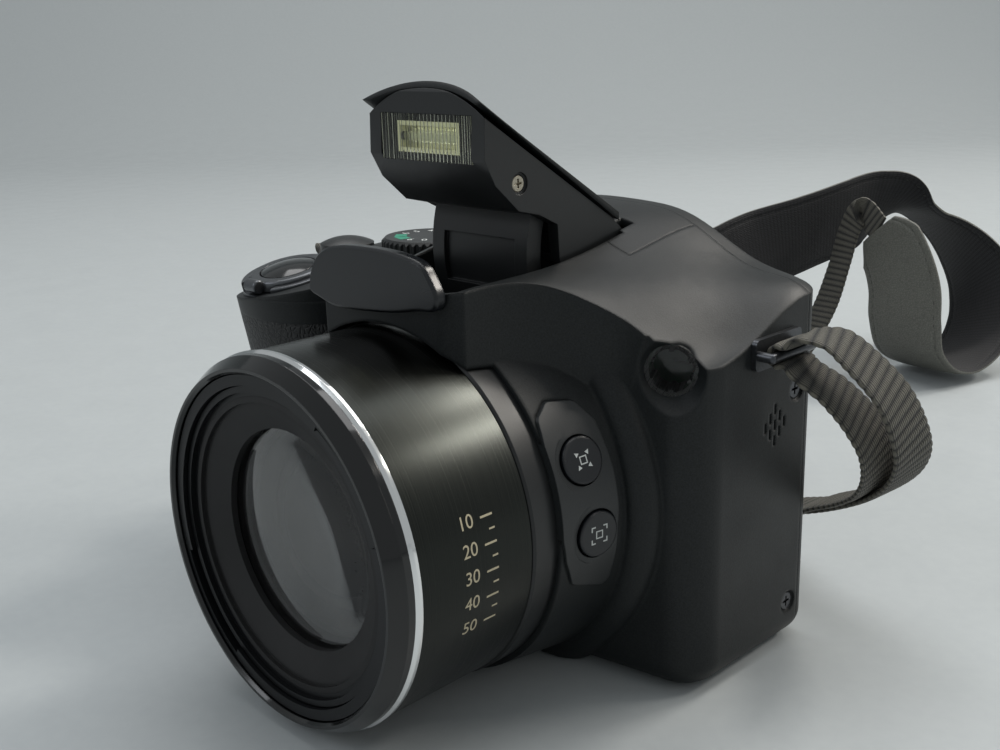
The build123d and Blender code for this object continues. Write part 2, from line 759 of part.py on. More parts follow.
def lcd_panel():
    """The screen behind its glass."""
    width = LCD_WIDTH - 2 * LCD_PANEL_INSET
    height = LCD_HEIGHT - 2 * LCD_PANEL_INSET
    return Pos(LCD_X, -LCD_GLASS, LCD_Z) * back_plate(width, height, LCD_PANEL_THICK, LCD_GLASS)


def back_openings():
    """What is cut from the rear cover for the screen, keys and thumb pad."""
    cuts = [lcd_window()]
    width = LCD_WIDTH - 2 * LCD_PANEL_INSET
    height = LCD_HEIGHT - 2 * LCD_PANEL_INSET
    cuts.append(Pos(LCD_X, 0, LCD_Z) * back_plate(width, height, HALF / 6, LCD_GLASS))
    for name in KEY_shares:
        cuts.append(key_place(name) * Pos(0, WALL, 0) * back_rod(KEY_R + BUTTON_GAP, WALL * 4))
    cuts.append(Pos(-PAD_X, WALL, PAD_Z) * back_rod(PAD_R + BUTTON_GAP, WALL * 4))
    cuts.append(thumb_rest())
    return cuts


def flash_points():
    """The head's side profile as (y, z) places."""
    return [(-HINGE_Y - f * FLASH_LENGTH, HINGE_Z + u * FLASH_LENGTH) for f, u in FLASH_shares]


def side_face(points):
    """A flat face in the YZ plane from (y, z) places."""
    plane = Plane(origin=(0, 0, 0), x_dir=(0, 1, 0), z_dir=(1, 0, 0))
    return plane * make_face(Polyline(*points, close=True))


def across(face, x0, x1):
    """Extrude a YZ face between two places across the body."""
    return Pos(x0, 0, 0) * extrude(face, x1 - x0)


def neck_sector(inner, outer, x0, x1, up, down):
    """A sector of a drum about the flash hinge, facing forward."""
    points = [(-HINGE_Y, HINGE_Z)]
    for angle in (up, (up - down) / 2, -down):
        turn = math.radians(angle)
        reach = outer * 2
        points.append((-HINGE_Y - reach * math.cos(turn), HINGE_Z + reach * math.sin(turn)))
    wedge = across(side_face(points), x0, x1)
    centre = Pos((x0 + x1) / 2, -HINGE_Y, HINGE_Z) * Rot(0, 90, 0)
    drum = centre * (Cylinder(outer, x1 - x0) - Cylinder(inner, x1 - x0))
    return wedge & drum


def hinge_bore(radius):
    """The hole for the flash hinge pin."""
    return Pos(LENS_X, -HINGE_Y, HINGE_Z) * Rot(0, 90, 0) * Cylinder(radius, BODY_WIDTH)


def flash_arm_span():
    """Where the head's inner space begins and ends across the body."""
    return -FLASH_LEFT + ARM_THICK, FLASH_RIGHT - ARM_THICK


def flash_window_box(grow, deep):
    """The window's place in the front of the head."""
    front = -HINGE_Y - FLASH_LENGTH * FRONT_share
    mid = (FLASH_RIGHT - FLASH_LEFT) / 2
    w, h = WINDOW_WIDTH / 2 + grow, WINDOW_HEIGHT / 2 + grow
    return box(mid - w, mid + w, front, front + deep, WINDOW_Z - h, WINDOW_Z + h)


def roof_section(forward, heights, grow, drop):
    """A section across the head, flat below and arched on top."""
    side, middle = [HINGE_Z + h * FLASH_LENGTH - drop for h in heights]
    left, right = -FLASH_LEFT - grow, FLASH_RIGHT + grow
    mid = (left + right) / 2
    arch = ThreePointArc((left, side), (mid, middle), (right, side))
    base = BODY_HEIGHT / 2
    rest = Polyline((right, side), (right, base), (left, base), (left, side))
    plane = Plane(origin=(0, -HINGE_Y - forward * FLASH_LENGTH, 0), x_dir=(1, 0, 0), z_dir=(0, -1, 0))
    return plane * make_face(arch + rest)


def under_roof(grow, drop):
    """Everything under the head's arched and sloping roof, lowered by a wall."""
    reach = FRONT_share + COVER_LIP / FLASH_LENGTH
    rear = roof_section(ROOF_REAR_share, ROOF_REAR_shares, grow, drop)
    front = roof_section(reach, ROOF_FRONT_shares, grow, drop)
    return loft([rear, front], ruled=True)


def closed_front():
    """Everything behind the head's front limit, as it lies when folded down."""
    behind = box(-BODY_WIDTH, BODY_WIDTH, -CLOSED_FRONT_Y, BODY_WIDTH, -BODY_WIDTH, BODY_WIDTH * 2)
    hinge = Pos(0, -HINGE_Y, HINGE_Z)
    return hinge * Rot(-FLASH_TRAVEL, 0, 0) * Pos(0, HINGE_Y, -HINGE_Z) * behind


def flash_housing():
    """The lower shell of the flash head with its two hinge arms and its neck."""
    profile = side_face(flash_points())
    block = across(profile, -FLASH_LEFT, FLASH_RIGHT)
    rear = -HINGE_Y - FLASH_LENGTH * 0.158
    drop = COVER_THICK + RUN_GAP
    head = block & box(-HALF, HALF, -BODY_WIDTH, rear, 0, BODY_WIDTH * 2) & under_roof(0, drop)
    arms = block & box(-HALF, HALF, rear, 0, 0, BODY_WIDTH)
    ear = Pos(-FLASH_LEFT, -HINGE_Y, HINGE_Z) * Rot(0, 90, 0) * Cylinder(
        HINGE_EAR_R, FLASH_LEFT + FLASH_RIGHT, align=(Align.CENTER, Align.CENTER, Align.MIN)
    )
    block = head + arms + ear
    left, right = flash_arm_span()
    room = across(offset(profile, -WINDOW_THICK), left, right) & under_roof(0, drop + ROOF_INNER_WALL)
    behind = box(left, right, -HINGE_Y - FLASH_LENGTH * 0.55, 0, 0, BODY_WIDTH)
    throat = neck_sector(0, NECK_OUTER_R, left, right, NECK_UP, NECK_DOWN * 2)
    block = block - room - behind - throat - hinge_bore(HINGE_PIN_R + HINGE_FIT)
    block = block - flash_window_box(0, WINDOW_THICK * 2) - flash_screw_cuts()
    return (block & closed_front()) + flash_neck()


def flash_screw_places():
    """The frames of the screws on the two sides of the head, Z outwards."""
    y, z = -HINGE_Y - FLASH_LENGTH * 0.85, HINGE_Z + FLASH_LENGTH * 0.4
    right = Plane(origin=(FLASH_RIGHT, y, z), z_dir=(1, 0, 0), x_dir=(0, 1, 0))
    left = Plane(origin=(-FLASH_LEFT, y, z), z_dir=(-1, 0, 0), x_dir=(0, 1, 0))
    return right, left


def screw(radius):
    """A flat screw head with a cross recess, its top at the local origin."""
    head = Cylinder(radius, SCREW_HEAD, align=(Align.CENTER, Align.CENTER, Align.MAX))
    head = chamfer(head.edges().group_by(Axis.Z)[-1], radius / 8)
    slot = Box(radius * 1.1, radius / 4, SCREW_HEAD)
    return head - slot - Rot(0, 0, 90) * slot


def screw_cut(radius):
    """The sunk seat of a screw."""
    cut = Cylinder(radius, SCREW_HEAD, align=(Align.CENTER, Align.CENTER, Align.MAX))
    mouth = Cylinder(radius + SCREW_SINK, SCREW_SINK, align=(Align.CENTER, Align.CENTER, Align.MAX))
    return Pos(0, 0, -SCREW_SINK) * cut + mouth


def flash_screw_cuts():
    """The seats of the head's side screws."""
    return [frame * screw_cut(SIDE_SCREW_R * 0.8) for frame in flash_screw_places()]


def flash_screws():
    """The screws that hold the two halves of the head."""
    sunk = Pos(0, 0, -SCREW_SINK)
    return Compound([frame * sunk * screw(SIDE_SCREW_R * 0.8) for frame in flash_screw_places()])


def flash_cover():
    """The thin sloping cover of the flash head, arched from side to side."""
    grow = COVER_LIP / 2
    cover = under_roof(grow, 0) - under_roof(grow * 2, COVER_THICK)
    slope = math.radians(FLASH_ANGLE)
    cut_z = HINGE_Z + ROOF_REAR_shares[0] * FLASH_LENGTH - COVER_THICK
    y0, y1 = -HINGE_Y, -HINGE_Y - FLASH_LENGTH * 1.2
    z0 = cut_z - FLASH_LENGTH * ROOF_REAR_share * math.tan(slope)
    z1 = z0 + FLASH_LENGTH * 1.2 * math.tan(slope)
    high = BODY_WIDTH * 2
    keep = across(side_face([(y0, z0), (y1, z1), (y1, high), (y0, high)]), -HALF, HALF)
    return cover & keep & closed_front()


def flash_window():
    """The clear fresnel window in the front of the head."""
    window = flash_window_box(0, WINDOW_THICK)
    front = -HINGE_Y - FLASH_LENGTH * FRONT_share + RUN_GAP
    keep = box(-HALF, HALF, front, 0, 0, BODY_WIDTH * 2)
    groove = WINDOW_THICK / 4
    grooves = []
    mid = (FLASH_RIGHT - FLASH_LEFT) / 2
    for side in (-1, 1):
        for k in range(5):
            x = mid + side * WINDOW_WIDTH * (0.47 - 0.035 * k)
            grooves.append(
                Pos(x, front, WINDOW_Z) * Rot(0, 0, 45) * Box(groove, groove, WINDOW_HEIGHT)
            )
    return (window & keep) - grooves


def behind_window(radius, width):
    """A round bar across the head, its axis on the window's inner face."""
    front = -HINGE_Y - FLASH_LENGTH * FRONT_share + WINDOW_THICK
    middle = (FLASH_RIGHT - FLASH_LEFT) / 2
    return Pos(middle, front, WINDOW_Z) * Rot(0, 90, 0) * Cylinder(radius, width)


def flash_reflector():
    """The bright trough behind the tube, closed at both ends."""
    front = -HINGE_Y - FLASH_LENGTH * FRONT_share + WINDOW_THICK
    trough = behind_window(REFLECTOR_R, REFLECTOR_WIDTH)
    room = behind_window(REFLECTOR_R - REFLECTOR_WALL, REFLECTOR_WIDTH - 2 * REFLECTOR_WALL)
    return (trough & box(-HALF, HALF, front, 0, 0, BODY_WIDTH * 2)) - room


def flash_tube():
    """The glass tube across the reflector."""
    return Pos(0, TUBE_R + RUN_GAP / 2, 0) * behind_window(TUBE_R, REFLECTOR_WIDTH - 2 * REFLECTOR_WALL)


def flash_neck():
    """The dark curved shield that follows the head into the pocket."""
    left, right = flash_arm_span()
    neck = neck_sector(NECK_INNER_R, NECK_OUTER_R, left, right, NECK_UP, NECK_DOWN)
    far, right = NECK_OUTER_R * 2, NECK_RIGHT * 0.88
    window = neck_sector(0, far, NECK_LEFT, right, NECK_DOWN / 3, NECK_DOWN / 2)
    floor = NECK_OUTER_R - BAYONET_DEPTH / 2
    sunk = neck_sector(floor, far, NECK_LEFT, right, NECK_DOWN / 3, NECK_DOWN / 2)
    return neck - (window & sunk)


def flash_hinge_pin():
    """The pin across the pocket that the flash head turns on."""
    x0 = -POCKET_LEFT
    return Pos(x0, -HINGE_Y, HINGE_Z) * Rot(0, 90, 0) * Cylinder(
        HINGE_PIN_R, POCKET_LEFT + POCKET_RIGHT, align=(Align.CENTER, Align.CENTER, Align.MIN)
    )


# Lens pieces, from the outside in


def lens_sleeve():
    """The turned metal sleeve round the barrel."""
    inner = SLEEVE_R - SLEEVE_WALL
    return tube(SLEEVE_R, inner, SLEEVE_FRONT, SLEEVE_BACK)


def rear_ring():
    """The plain ring between the sleeve and the collar."""
    inner = SLEEVE_R - SLEEVE_WALL
    slope = REAR_RING_R - SLEEVE_R
    return turned(
        [
            (inner, COLLAR_FRONT),
            (REAR_RING_R, COLLAR_FRONT),
            (REAR_RING_R, SLEEVE_BACK - slope),
            (SLEEVE_R, SLEEVE_BACK),
            (inner, SLEEVE_BACK),
        ]
    )


def chrome_ring():
    """The bright band at the front of the sleeve."""
    front = SLEEVE_FRONT + CHROME_LENGTH
    inner = SLEEVE_R - SLEEVE_WALL
    edge = (CHROME_R - SLEEVE_R) * 2
    return turned(
        [
            (inner, SLEEVE_FRONT),
            (CHROME_R, SLEEVE_FRONT),
            (CHROME_R, front - edge),
            (CHROME_R - edge, front),
            (inner, front),
        ]
    )


def bezel_ring():
    """The bevelled black ring in front of the bright band."""
    back = SLEEVE_FRONT + CHROME_LENGTH
    front = back + BEZEL_LENGTH
    inner = SLEEVE_R - SLEEVE_WALL - GUIDE_WALL
    outer = CHROME_R - BEZEL_BEVEL / 4
    return turned(
        [
            (inner, back),
            (outer, back),
            (outer, back + BEZEL_LENGTH / 3),
            (outer - BEZEL_BEVEL, front),
            (inner + BEZEL_BEVEL / 4, front),
            (inner, front - BEZEL_BEVEL / 3),
        ]
    )


def guide_tube():
    """The fixed tube that guides the zoom barrels."""
    outer = SLEEVE_R - SLEEVE_WALL
    front = SLEEVE_FRONT + CHROME_LENGTH
    return tube(outer, outer - GUIDE_WALL, front, GUIDE_BACK)


def barrel_front():
    """The distance from the back to the front rim of the outer zoom barrel."""
    return SLEEVE_FRONT + CHROME_LENGTH + BEZEL_LENGTH - BARREL_INSET


def outer_barrel_radius():
    """The outside radius of the outer zoom barrel."""
    return SLEEVE_R - SLEEVE_WALL - GUIDE_WALL - RUN_GAP


def zoom_barrel_outer():
    """The outer moving barrel with bayonet notches in its front rim."""
    outer = outer_barrel_radius()
    inner = outer - BARREL_WALL
    front = barrel_front()
    barrel = tube(outer, inner, front, front - OUTER_BARREL_LENGTH)
    notch = tube(inner + BARREL_WALL / 2, inner - BARREL_WALL, front + OVERRUN, front - BAYONET_DEPTH)
    for side in (0, 180):
        barrel = barrel - (notch & lens_wedge(BAYONET_TURN + side, BAYONET_ARC))
    return barrel


def lens_wedge(middle, arc):
    """A wedge about the lens axis, centred on an angle from the +X side."""
    reach = BODY_WIDTH
    points = [(0, 0)]
    for angle in (middle - arc / 2, middle, middle + arc / 2):
        turn = math.radians(angle)
        points.append((reach * math.cos(turn), reach * math.sin(turn)))
    plane = Plane(origin=(LENS_X, 0, LENS_Z), x_dir=(1, 0, 0), z_dir=(0, -1, 0))
    return extrude(plane * make_face(Polyline(*points, close=True)), BODY_WIDTH)


def inner_barrel_radius():
    """The outside radius of the inner zoom barrel."""
    return outer_barrel_radius() - BARREL_WALL - RUN_GAP


def zoom_barrel_inner():
    """The inner moving barrel that carries the front lens group."""
    outer = inner_barrel_radius()
    inner = outer - BARREL_WALL
    front = barrel_front() - INNER_BARREL_INSET
    back = front - INNER_BARREL_LENGTH
    seat = front - GLASS_INSET
    return turned(
        [
            (inner, back),
            (outer, back),
            (outer, front),
            (outer - STEP_WIDTH, front),
            (outer - STEP_WIDTH, front - STEP_DEPTH),
            (inner, front - STEP_DEPTH),
            (inner, seat - GLASS_EDGE),
        ]
    )


def name_ring_points():
    """The stepped and tapered front of the name ring, from outside in."""
    outer = inner_barrel_radius() - BARREL_WALL
    front = barrel_front() - INNER_BARREL_INSET - STEP_DEPTH
    return outer, front


def name_ring():
    """The tapered ring round the front glass, stepped at its outer edge."""
    outer, front = name_ring_points()
    lip = GLASS_R - NAME_RING_WALL / 2
    land = front - STEP_DEPTH
    inner_front = front - GLASS_INSET * 1.15
    return turned(
        [
            (outer, front - GLASS_INSET * 2.4),
            (outer, front),
            (outer - STEP_WIDTH, front),
            (outer - STEP_WIDTH, land),
            (outer - STEP_WIDTH * 1.6, land),
            (lip, inner_front),
            (lip, inner_front - NAME_RING_WALL),
            (GLASS_R + NAME_RING_WALL, inner_front - NAME_RING_WALL),
            (GLASS_R + NAME_RING_WALL, front - GLASS_INSET * 2.4),
        ]
    )


def front_glass():
    """The domed front element."""
    outer, front = name_ring_points()
    seat = front - GLASS_INSET * 1.15 - NAME_RING_WALL
    radius = GLASS_R + NAME_RING_WALL
    back = seat - GLASS_EDGE
    edge = Polyline((0, -back), (radius, -back), (radius, -seat))
    lip = Line((radius, -seat), (GLASS_R - NAME_RING_WALL, -seat))
    dome = cap_arc(GLASS_R - NAME_RING_WALL, -seat, -GLASS_SAG)
    profile = make_face(edge + lip + dome + Line((0, -seat - GLASS_SAG), (0, -back)))
    return at_lens(revolve(profile, Axis.Y))


def lens_cell():
    """The stepped dark cell behind the front glass, ending in the aperture plate."""
    outer, front = name_ring_points()
    seat = front - GLASS_INSET * 1.15 - NAME_RING_WALL - GLASS_EDGE
    back = seat - CELL_LENGTH
    lip = GLASS_R + NAME_RING_WALL / 2
    rise = (lip - CELL_THROAT_R) / CELL_STEPS
    step = (CELL_LENGTH - IRIS_THICK) / CELL_STEPS
    points = [(IRIS_R, back + IRIS_THICK), (IRIS_R, back), (outer, back), (outer, seat)]
    for k in range(CELL_STEPS):
        points.append((lip - rise * k, seat - step * k))
        points.append((lip - rise * k, seat - step * (k + 1)))
    return turned(points)


def rear_cell():
    """The fixed cell of the rear lens group, with a foot on the sensor board."""
    front = REAR_CELL_FRONT
    back = SENSOR_Y + BOARD_THICK
    body = tube(REAR_CELL_R, REAR_CELL_R - REAR_CELL_WALL, front, front - REAR_CELL_LENGTH)
    neck = tube(REAR_CELL_R, SENSOR_CHIP * 0.75, front - REAR_CELL_LENGTH, back)
    return body + neck


def sensor_board():
    """The small board that carries the image sensor."""
    return at_lens(
        Pos(0, -SENSOR_Y - BOARD_THICK / 2, 0) * Box(SENSOR_SIZE * 1.5, BOARD_THICK, SENSOR_SIZE * 1.5)
    )


def image_sensor():
    """The sensor chip on the lens axis."""
    y = -SENSOR_Y - BOARD_THICK - SENSOR_CHIP_THICK / 2
    return at_lens(Pos(0, y, 0) * Box(SENSOR_CHIP, SENSOR_CHIP_THICK, SENSOR_CHIP * 0.75))


def nose_plate():
    """The bare rounded plate on the nose, with a softened front edge."""
    points = [(LENS_X + a * SLEEVE_R, POCKET_FLOOR + (u - 1) * SLEEVE_R) for a, u in NOSE_PLATE_shares]
    outline = make_face(Spline(*points, periodic=True))
    plane = Plane(origin=(0, -NOSE_FRONT, 0), x_dir=(1, 0, 0), z_dir=(0, -1, 0))
    plate = extrude(plane * outline, PLATE_THICK)
    return chamfer(plate.edges().group_by(Axis.Y)[0], PLATE_EDGE_R / 2)


def arm_slots():
    """The slots in the hump for the ends of the flash arms."""
    y0, y1 = -HINGE_Y - HINGE_EAR_R - BUTTON_GAP, -HINGE_Y + HINGE_EAR_R + BUTTON_GAP
    low = HINGE_Z - HINGE_EAR_R - BUTTON_GAP
    slots = []
    for x0 in (-FLASH_LEFT, FLASH_RIGHT - ARM_THICK):
        a, b = x0 - BUTTON_GAP, x0 + ARM_THICK + BUTTON_GAP
        slots.append(box(a, b, -POCKET_BACK - WALL, y0 + HINGE_EAR_R, low - WALL, BODY_WIDTH))
        slots.append(box(a, b, y0, y1, low, HINGE_Z + HINGE_EAR_R + BUTTON_GAP))
    return slots


def hinge_cheeks(form):
    """The bosses that hold the ends of the flash hinge pin."""
    y0, y1 = -HINGE_Y - HINGE_EAR_R, -HINGE_Y + HINGE_EAR_R
    left = box(-POCKET_LEFT, -FLASH_LEFT - BUTTON_GAP, y0, y1, HUMP_SEAM_Z, BODY_WIDTH)
    right = box(FLASH_RIGHT + BUTTON_GAP, POCKET_RIGHT + POCKET_WALL, y0, y1, HUMP_SEAM_Z, BODY_WIDTH)
    return [left & form, right & form]


def side_screw_frames():
    """The frames of the four screws in the two sides, Z outwards."""
    frames = []
    for side in (-1, 1):
        for z in (SIDE_SCREW_LOW, SIDE_SCREW_HIGH):
            origin = (side * HALF, -SIDE_SCREW_Y, z)
            frames.append(Plane(origin=origin, z_dir=(side, 0, 0), x_dir=(0, 1, 0)))
    return frames


def base_screw_frames():
    """The frames of the screws in the base, Z downwards."""
    across = (LENS_X - SLEEVE_R * 0.7, LENS_X + SLEEVE_R)
    frames = []
    for x in across:
        for y in (-SIDE_SCREW_Y * 1.3, -BODY_DEPTH * 0.78):
            frames.append(Plane(origin=(x, y, 0), z_dir=(0, 0, -1), x_dir=(1, 0, 0)))
    return frames


def screws(frames):
    """A set of sunk screws."""
    sunk = Pos(0, 0, -SCREW_SINK)
    return Compound([frame * sunk * screw(SIDE_SCREW_R) for frame in frames])


# Slots of the speaker: across and up, in steps of the slot's pitch.
SPEAKER_steps = [(0, 1), (0, 0), (0, -1), (1, 0.5), (1, -0.5), (-1, 0.5), (-1, -0.5), (2, 0), (-2, 0)]


def speaker_slots():
    """The small upright slots in front of the speaker."""
    slots = []
    for across_steps, up_steps in SPEAKER_steps:
        y = -SPEAKER_Y + across_steps * SLOT_PITCH * 0.68
        z = SPEAKER_Z + up_steps * SLOT_PITCH * 1.35
        slots.append(Pos(HALF, y, z) * Box(WALL * 3, SLOT_WIDTH, SLOT_HEIGHT))
    return slots


def flap(grow, thick):
    """The rubber flap over the sockets, or its seat, on the grip side."""
    plane = Plane(origin=(-HALF, -FLAP_Y, FLAP_Z), x_dir=(0, 1, 0), z_dir=(-1, 0, 0))
    face = RectangleRounded(FLAP_WIDTH + 2 * grow, FLAP_HEIGHT + 2 * grow, FLAP_WIDTH / 4)
    return extrude(plane * face, -thick)


def cable_sockets():
    """The flanged block behind the flap with its two cable sockets."""
    x1 = -HALF + WALL
    plane = Plane(origin=(x1, -FLAP_Y, FLAP_Z), x_dir=(0, 1, 0), z_dir=(1, 0, 0))
    wide, high = FLAP_WIDTH + 2 * SOCKET_FLANGE, FLAP_HEIGHT + 2 * SOCKET_FLANGE
    flange = RectangleRounded(wide, high, FLAP_WIDTH / 4)
    block = extrude(plane * flange, SOCKET_FLANGE_THICK)
    inner = plane * Rectangle(FLAP_WIDTH * 0.7, FLAP_HEIGHT)
    block = block + extrude(inner, SOCKET_BLOCK_DEPTH)
    for up, height in ((0.25, SOCKET_UPPER_HEIGHT), (-0.25, SOCKET_LOWER_HEIGHT)):
        place = Pos(0, up * FLAP_HEIGHT, 0)
        depth = SOCKET_BLOCK_DEPTH - SOCKET_FLANGE_THICK / 2
        block = block - extrude(plane * place * Rectangle(SOCKET_OPENING, height), depth)
        tongue = plane * place * Rectangle(SOCKET_TONGUE, height * 0.6)
        block = block + extrude(tongue, SOCKET_BLOCK_DEPTH)
    return block


def door_outline(grow, inner_grow):
    """Plan of the battery door, or of its opening."""
    x0, x1 = -DOOR_X - DOOR_WIDTH / 2 - grow, -DOOR_X + DOOR_WIDTH / 2 + inner_grow
    y0, y1 = -DOOR_Y - DOOR_DEPTH / 2 - grow, -DOOR_Y + DOOR_DEPTH / 2 + grow
    face = make_face(Polyline((x0, y0), (x1, y0), (x1, y1), (x0, y1), close=True))
    outer = [nearest(face, x0, y0), nearest(face, x0, y1)]
    return fillet(outer, DOOR_CORNER_R)


def door_pin_x():
    """Where the battery door's hinge pin lies across the body."""
    return -DOOR_X + DOOR_WIDTH / 2 - DOOR_PIN_INSET


def door_pin(radius, length):
    """The battery door's hinge pin, or its bore, along the camera's depth."""
    return Pos(door_pin_x(), -DOOR_Y, DOOR_THICK / 2) * Rot(90, 0, 0) * Cylinder(radius, length)


def door_latch_place():
    """The middle of the sliding latch in the battery door."""
    return Pos(-DOOR_X - DOOR_WIDTH / 2 + LATCH_WIDTH * 1.2, -DOOR_Y, 0)


def battery_door():
    """The door under the battery and the card, with its hinge pin."""
    door = extrude(door_outline(0, 0), DOOR_THICK)
    slot = Box(
        LATCH_WIDTH + 2 * BUTTON_GAP,
        LATCH_LENGTH + 2 * LATCH_TRAVEL + 2 * BUTTON_GAP,
        DOOR_THICK * 4,
    )
    pin = door_pin(DOOR_PIN_R, DOOR_DEPTH + 2 * DOOR_PIN_END)
    return door - door_latch_place() * slot + pin


def door_latch():
    """The small ribbed slider that locks the battery door."""
    knob = Box(LATCH_WIDTH, LATCH_LENGTH, DOOR_THICK, align=(Align.CENTER, Align.CENTER, Align.MIN))
    for k in range(-2, 3):
        groove = Box(LATCH_WIDTH, LATCH_SINK, LATCH_SINK)
        knob = knob - Pos(0, k * LATCH_LENGTH / 6, LATCH_SINK / 2) * groove
    return door_latch_place() * knob


def battery_box(grow):
    """The battery, or the room round it."""
    return box(
        -BATTERY_X - BATTERY_THICK / 2 - grow,
        -BATTERY_X + BATTERY_THICK / 2 + grow,
        -DOOR_Y - BATTERY_WIDTH / 2 - grow,
        -DOOR_Y + BATTERY_WIDTH / 2 + grow,
        BAY_FLOOR,
        BAY_FLOOR + BATTERY_HEIGHT + grow,
    )


def card_box(grow):
    """The memory card, or the room round it."""
    return box(
        -CARD_X - CARD_THICK / 2 - grow,
        -CARD_X + CARD_THICK / 2 + grow,
        -DOOR_Y - CARD_WIDTH / 2 - grow,
        -DOOR_Y + CARD_WIDTH / 2 + grow,
        BAY_FLOOR,
        BAY_FLOOR + CARD_HEIGHT + grow,
    )


def battery():
    """The rechargeable battery with softened edges."""
    cell = battery_box(0)
    return fillet(cell.edges().filter_by(Axis.Z), BATTERY_THICK / 5)


def memory_card():
    """The memory card with its cut corner."""
    card = card_box(0)
    corner = Pos(-CARD_X, -DOOR_Y - CARD_WIDTH / 2, BAY_FLOOR + CARD_HEIGHT) * Rot(45, 0, 0)
    return card - corner * Box(CARD_THICK * 2, CARD_WIDTH / 5, CARD_WIDTH / 5)


def battery_bay(hollow):
    """The guides round the battery and the card, on a flange on the base."""
    grow = BAY_GAP + BAY_WALL
    guides = battery_box(grow) + card_box(grow)
    web_top = BAY_FLOOR + CARD_HEIGHT
    web = box(-BATTERY_X, -CARD_X, -DOOR_Y - BAY_WALL, -DOOR_Y + BAY_WALL, BAY_FLOOR, web_top)
    reach = DOOR_DEPTH / 2 + BAY_FLANGE
    flange = box(-HALF, -BAY_INNER_X, -DOOR_Y - reach, -DOOR_Y + reach, WALL, BAY_FLOOR + BAY_WALL)
    bay = (guides + web + flange) & hollow
    mouth = extrude(door_outline(DOOR_GAP, DOOR_PIN_INSET * 0.7), BAY_FLOOR)
    return bay - mouth - battery_box(BAY_GAP) - card_box(BAY_GAP)


def tripod_socket():
    """The metal insert with the threaded tripod hole."""
    up = (Align.CENTER, Align.CENTER, Align.MIN)
    insert = Cylinder(SOCKET_BODY_R, SOCKET_DEPTH + WALL, align=up)
    flange = Pos(0, 0, WALL) * Cylinder(SOCKET_BODY_R * 1.5, WALL, align=up)
    return Pos(LENS_X, -SOCKET_Y, 0) * (insert + flange - Cylinder(SOCKET_R, SOCKET_DEPTH, align=up))


def strap_lug(side):
    """A strap lug: a plate on the side with a wire loop."""
    z0, z1 = LUG_Z - LUG_PLATE_HEIGHT / 2, LUG_Z + LUG_PLATE_HEIGHT / 2
    y0, y1 = -LUG_Y - LUG_WIDTH / 2 - LUG_WIRE_R, -LUG_Y + LUG_WIDTH / 2 + LUG_WIRE_R
    x0 = HALF
    plate = box(x0, x0 + LUG_PLATE_THICK, y0, y1, z0, z1)
    plate = fillet(plate.edges().filter_by(Axis.X), LUG_PLATE_THICK)
    reach = LUG_REACH - LUG_WIRE_R
    lug = plate
    for y in (-LUG_Y - LUG_WIDTH / 2, -LUG_Y + LUG_WIDTH / 2):
        lug = lug + rod((x0, y, LUG_Z), (1, 0, 0), LUG_WIRE_R, reach)
        lug = lug + Pos(x0 + reach, y, LUG_Z) * Sphere(LUG_WIRE_R)
    lug = lug + rod((x0 + reach, -LUG_Y - LUG_WIDTH / 2, LUG_Z), (0, 1, 0), LUG_WIRE_R, LUG_WIDTH)
    if side < 0:
        return mirror(lug, Plane.YZ)
    return lug


# Inner boards and drives


def chassis(hollow):
    """The metal frame behind the screen, with posts for the main board."""
    y1 = -LCD_GLASS - LCD_PANEL_THICK
    y0 = y1 - FRAME_THICK
    plate = box(LCD_X - HALF * 0.65, HALF, y0, y1, WALL, LCD_Z + LCD_HEIGHT / 2) & hollow
    posts = []
    for x in (-MAIN_BOARD_WIDTH * 0.42, MAIN_BOARD_WIDTH * 0.42):
        for z in (-MAIN_BOARD_HEIGHT * 0.42, MAIN_BOARD_HEIGHT * 0.42):
            foot = (LCD_X + x, y0, LCD_Z + z)
            posts.append(rod(foot, (0, -1, 0), FRAME_THICK * 1.5, MAIN_BOARD_Y + y0))
    return plate + posts


def main_board():
    """The main circuit board on its posts, with its larger chips."""
    y1 = -MAIN_BOARD_Y
    board = box(
        LCD_X - MAIN_BOARD_WIDTH / 2,
        LCD_X + MAIN_BOARD_WIDTH / 2,
        y1 - BOARD_THICK,
        y1,
        LCD_Z - MAIN_BOARD_HEIGHT / 2,
        LCD_Z + MAIN_BOARD_HEIGHT / 2,
    )
    chip = SENSOR_CHIP * 1.4
    for x, z in ((-0.25, 0.2), (0.1, -0.15), (0.3, 0.25)):
        place = Pos(LCD_X + x * MAIN_BOARD_WIDTH, y1 - BOARD_THICK * 1.4, LCD_Z + z * MAIN_BOARD_HEIGHT)
        board = board + place * Box(chip, BOARD_THICK, chip)
    return board


def lens_frame(hollow):
    """The plate behind the lens with the fixed tube that guides the barrels."""
    y1 = -REAR_CELL_FRONT
    plate = box(LENS_X - SLEEVE_R, HALF, y1, y1 + LENS_FRAME_THICK, WALL, LENS_FRAME_TOP) & hollow
    outer = SLEEVE_R - SLEEVE_WALL
    ring = tube(outer, outer - GUIDE_WALL * 2, GUIDE_BACK, REAR_CELL_FRONT)
    low = box(-BODY_WIDTH, BODY_WIDTH, -BODY_WIDTH, 0, 0, LENS_FRAME_TOP)
    frame = (plate + ring) & low
    return frame - tube(REAR_CELL_R, 0, BODY_WIDTH, 0) + guide_tube()


# Strap. Each route gives the middle of the band, then the way that its width
# points where that changes. An adjuster's route is its middle, the strap's
# aim and its width.
WIRE_TURN_degrees = (60, 100, 140, 180, 220, 260, 300)

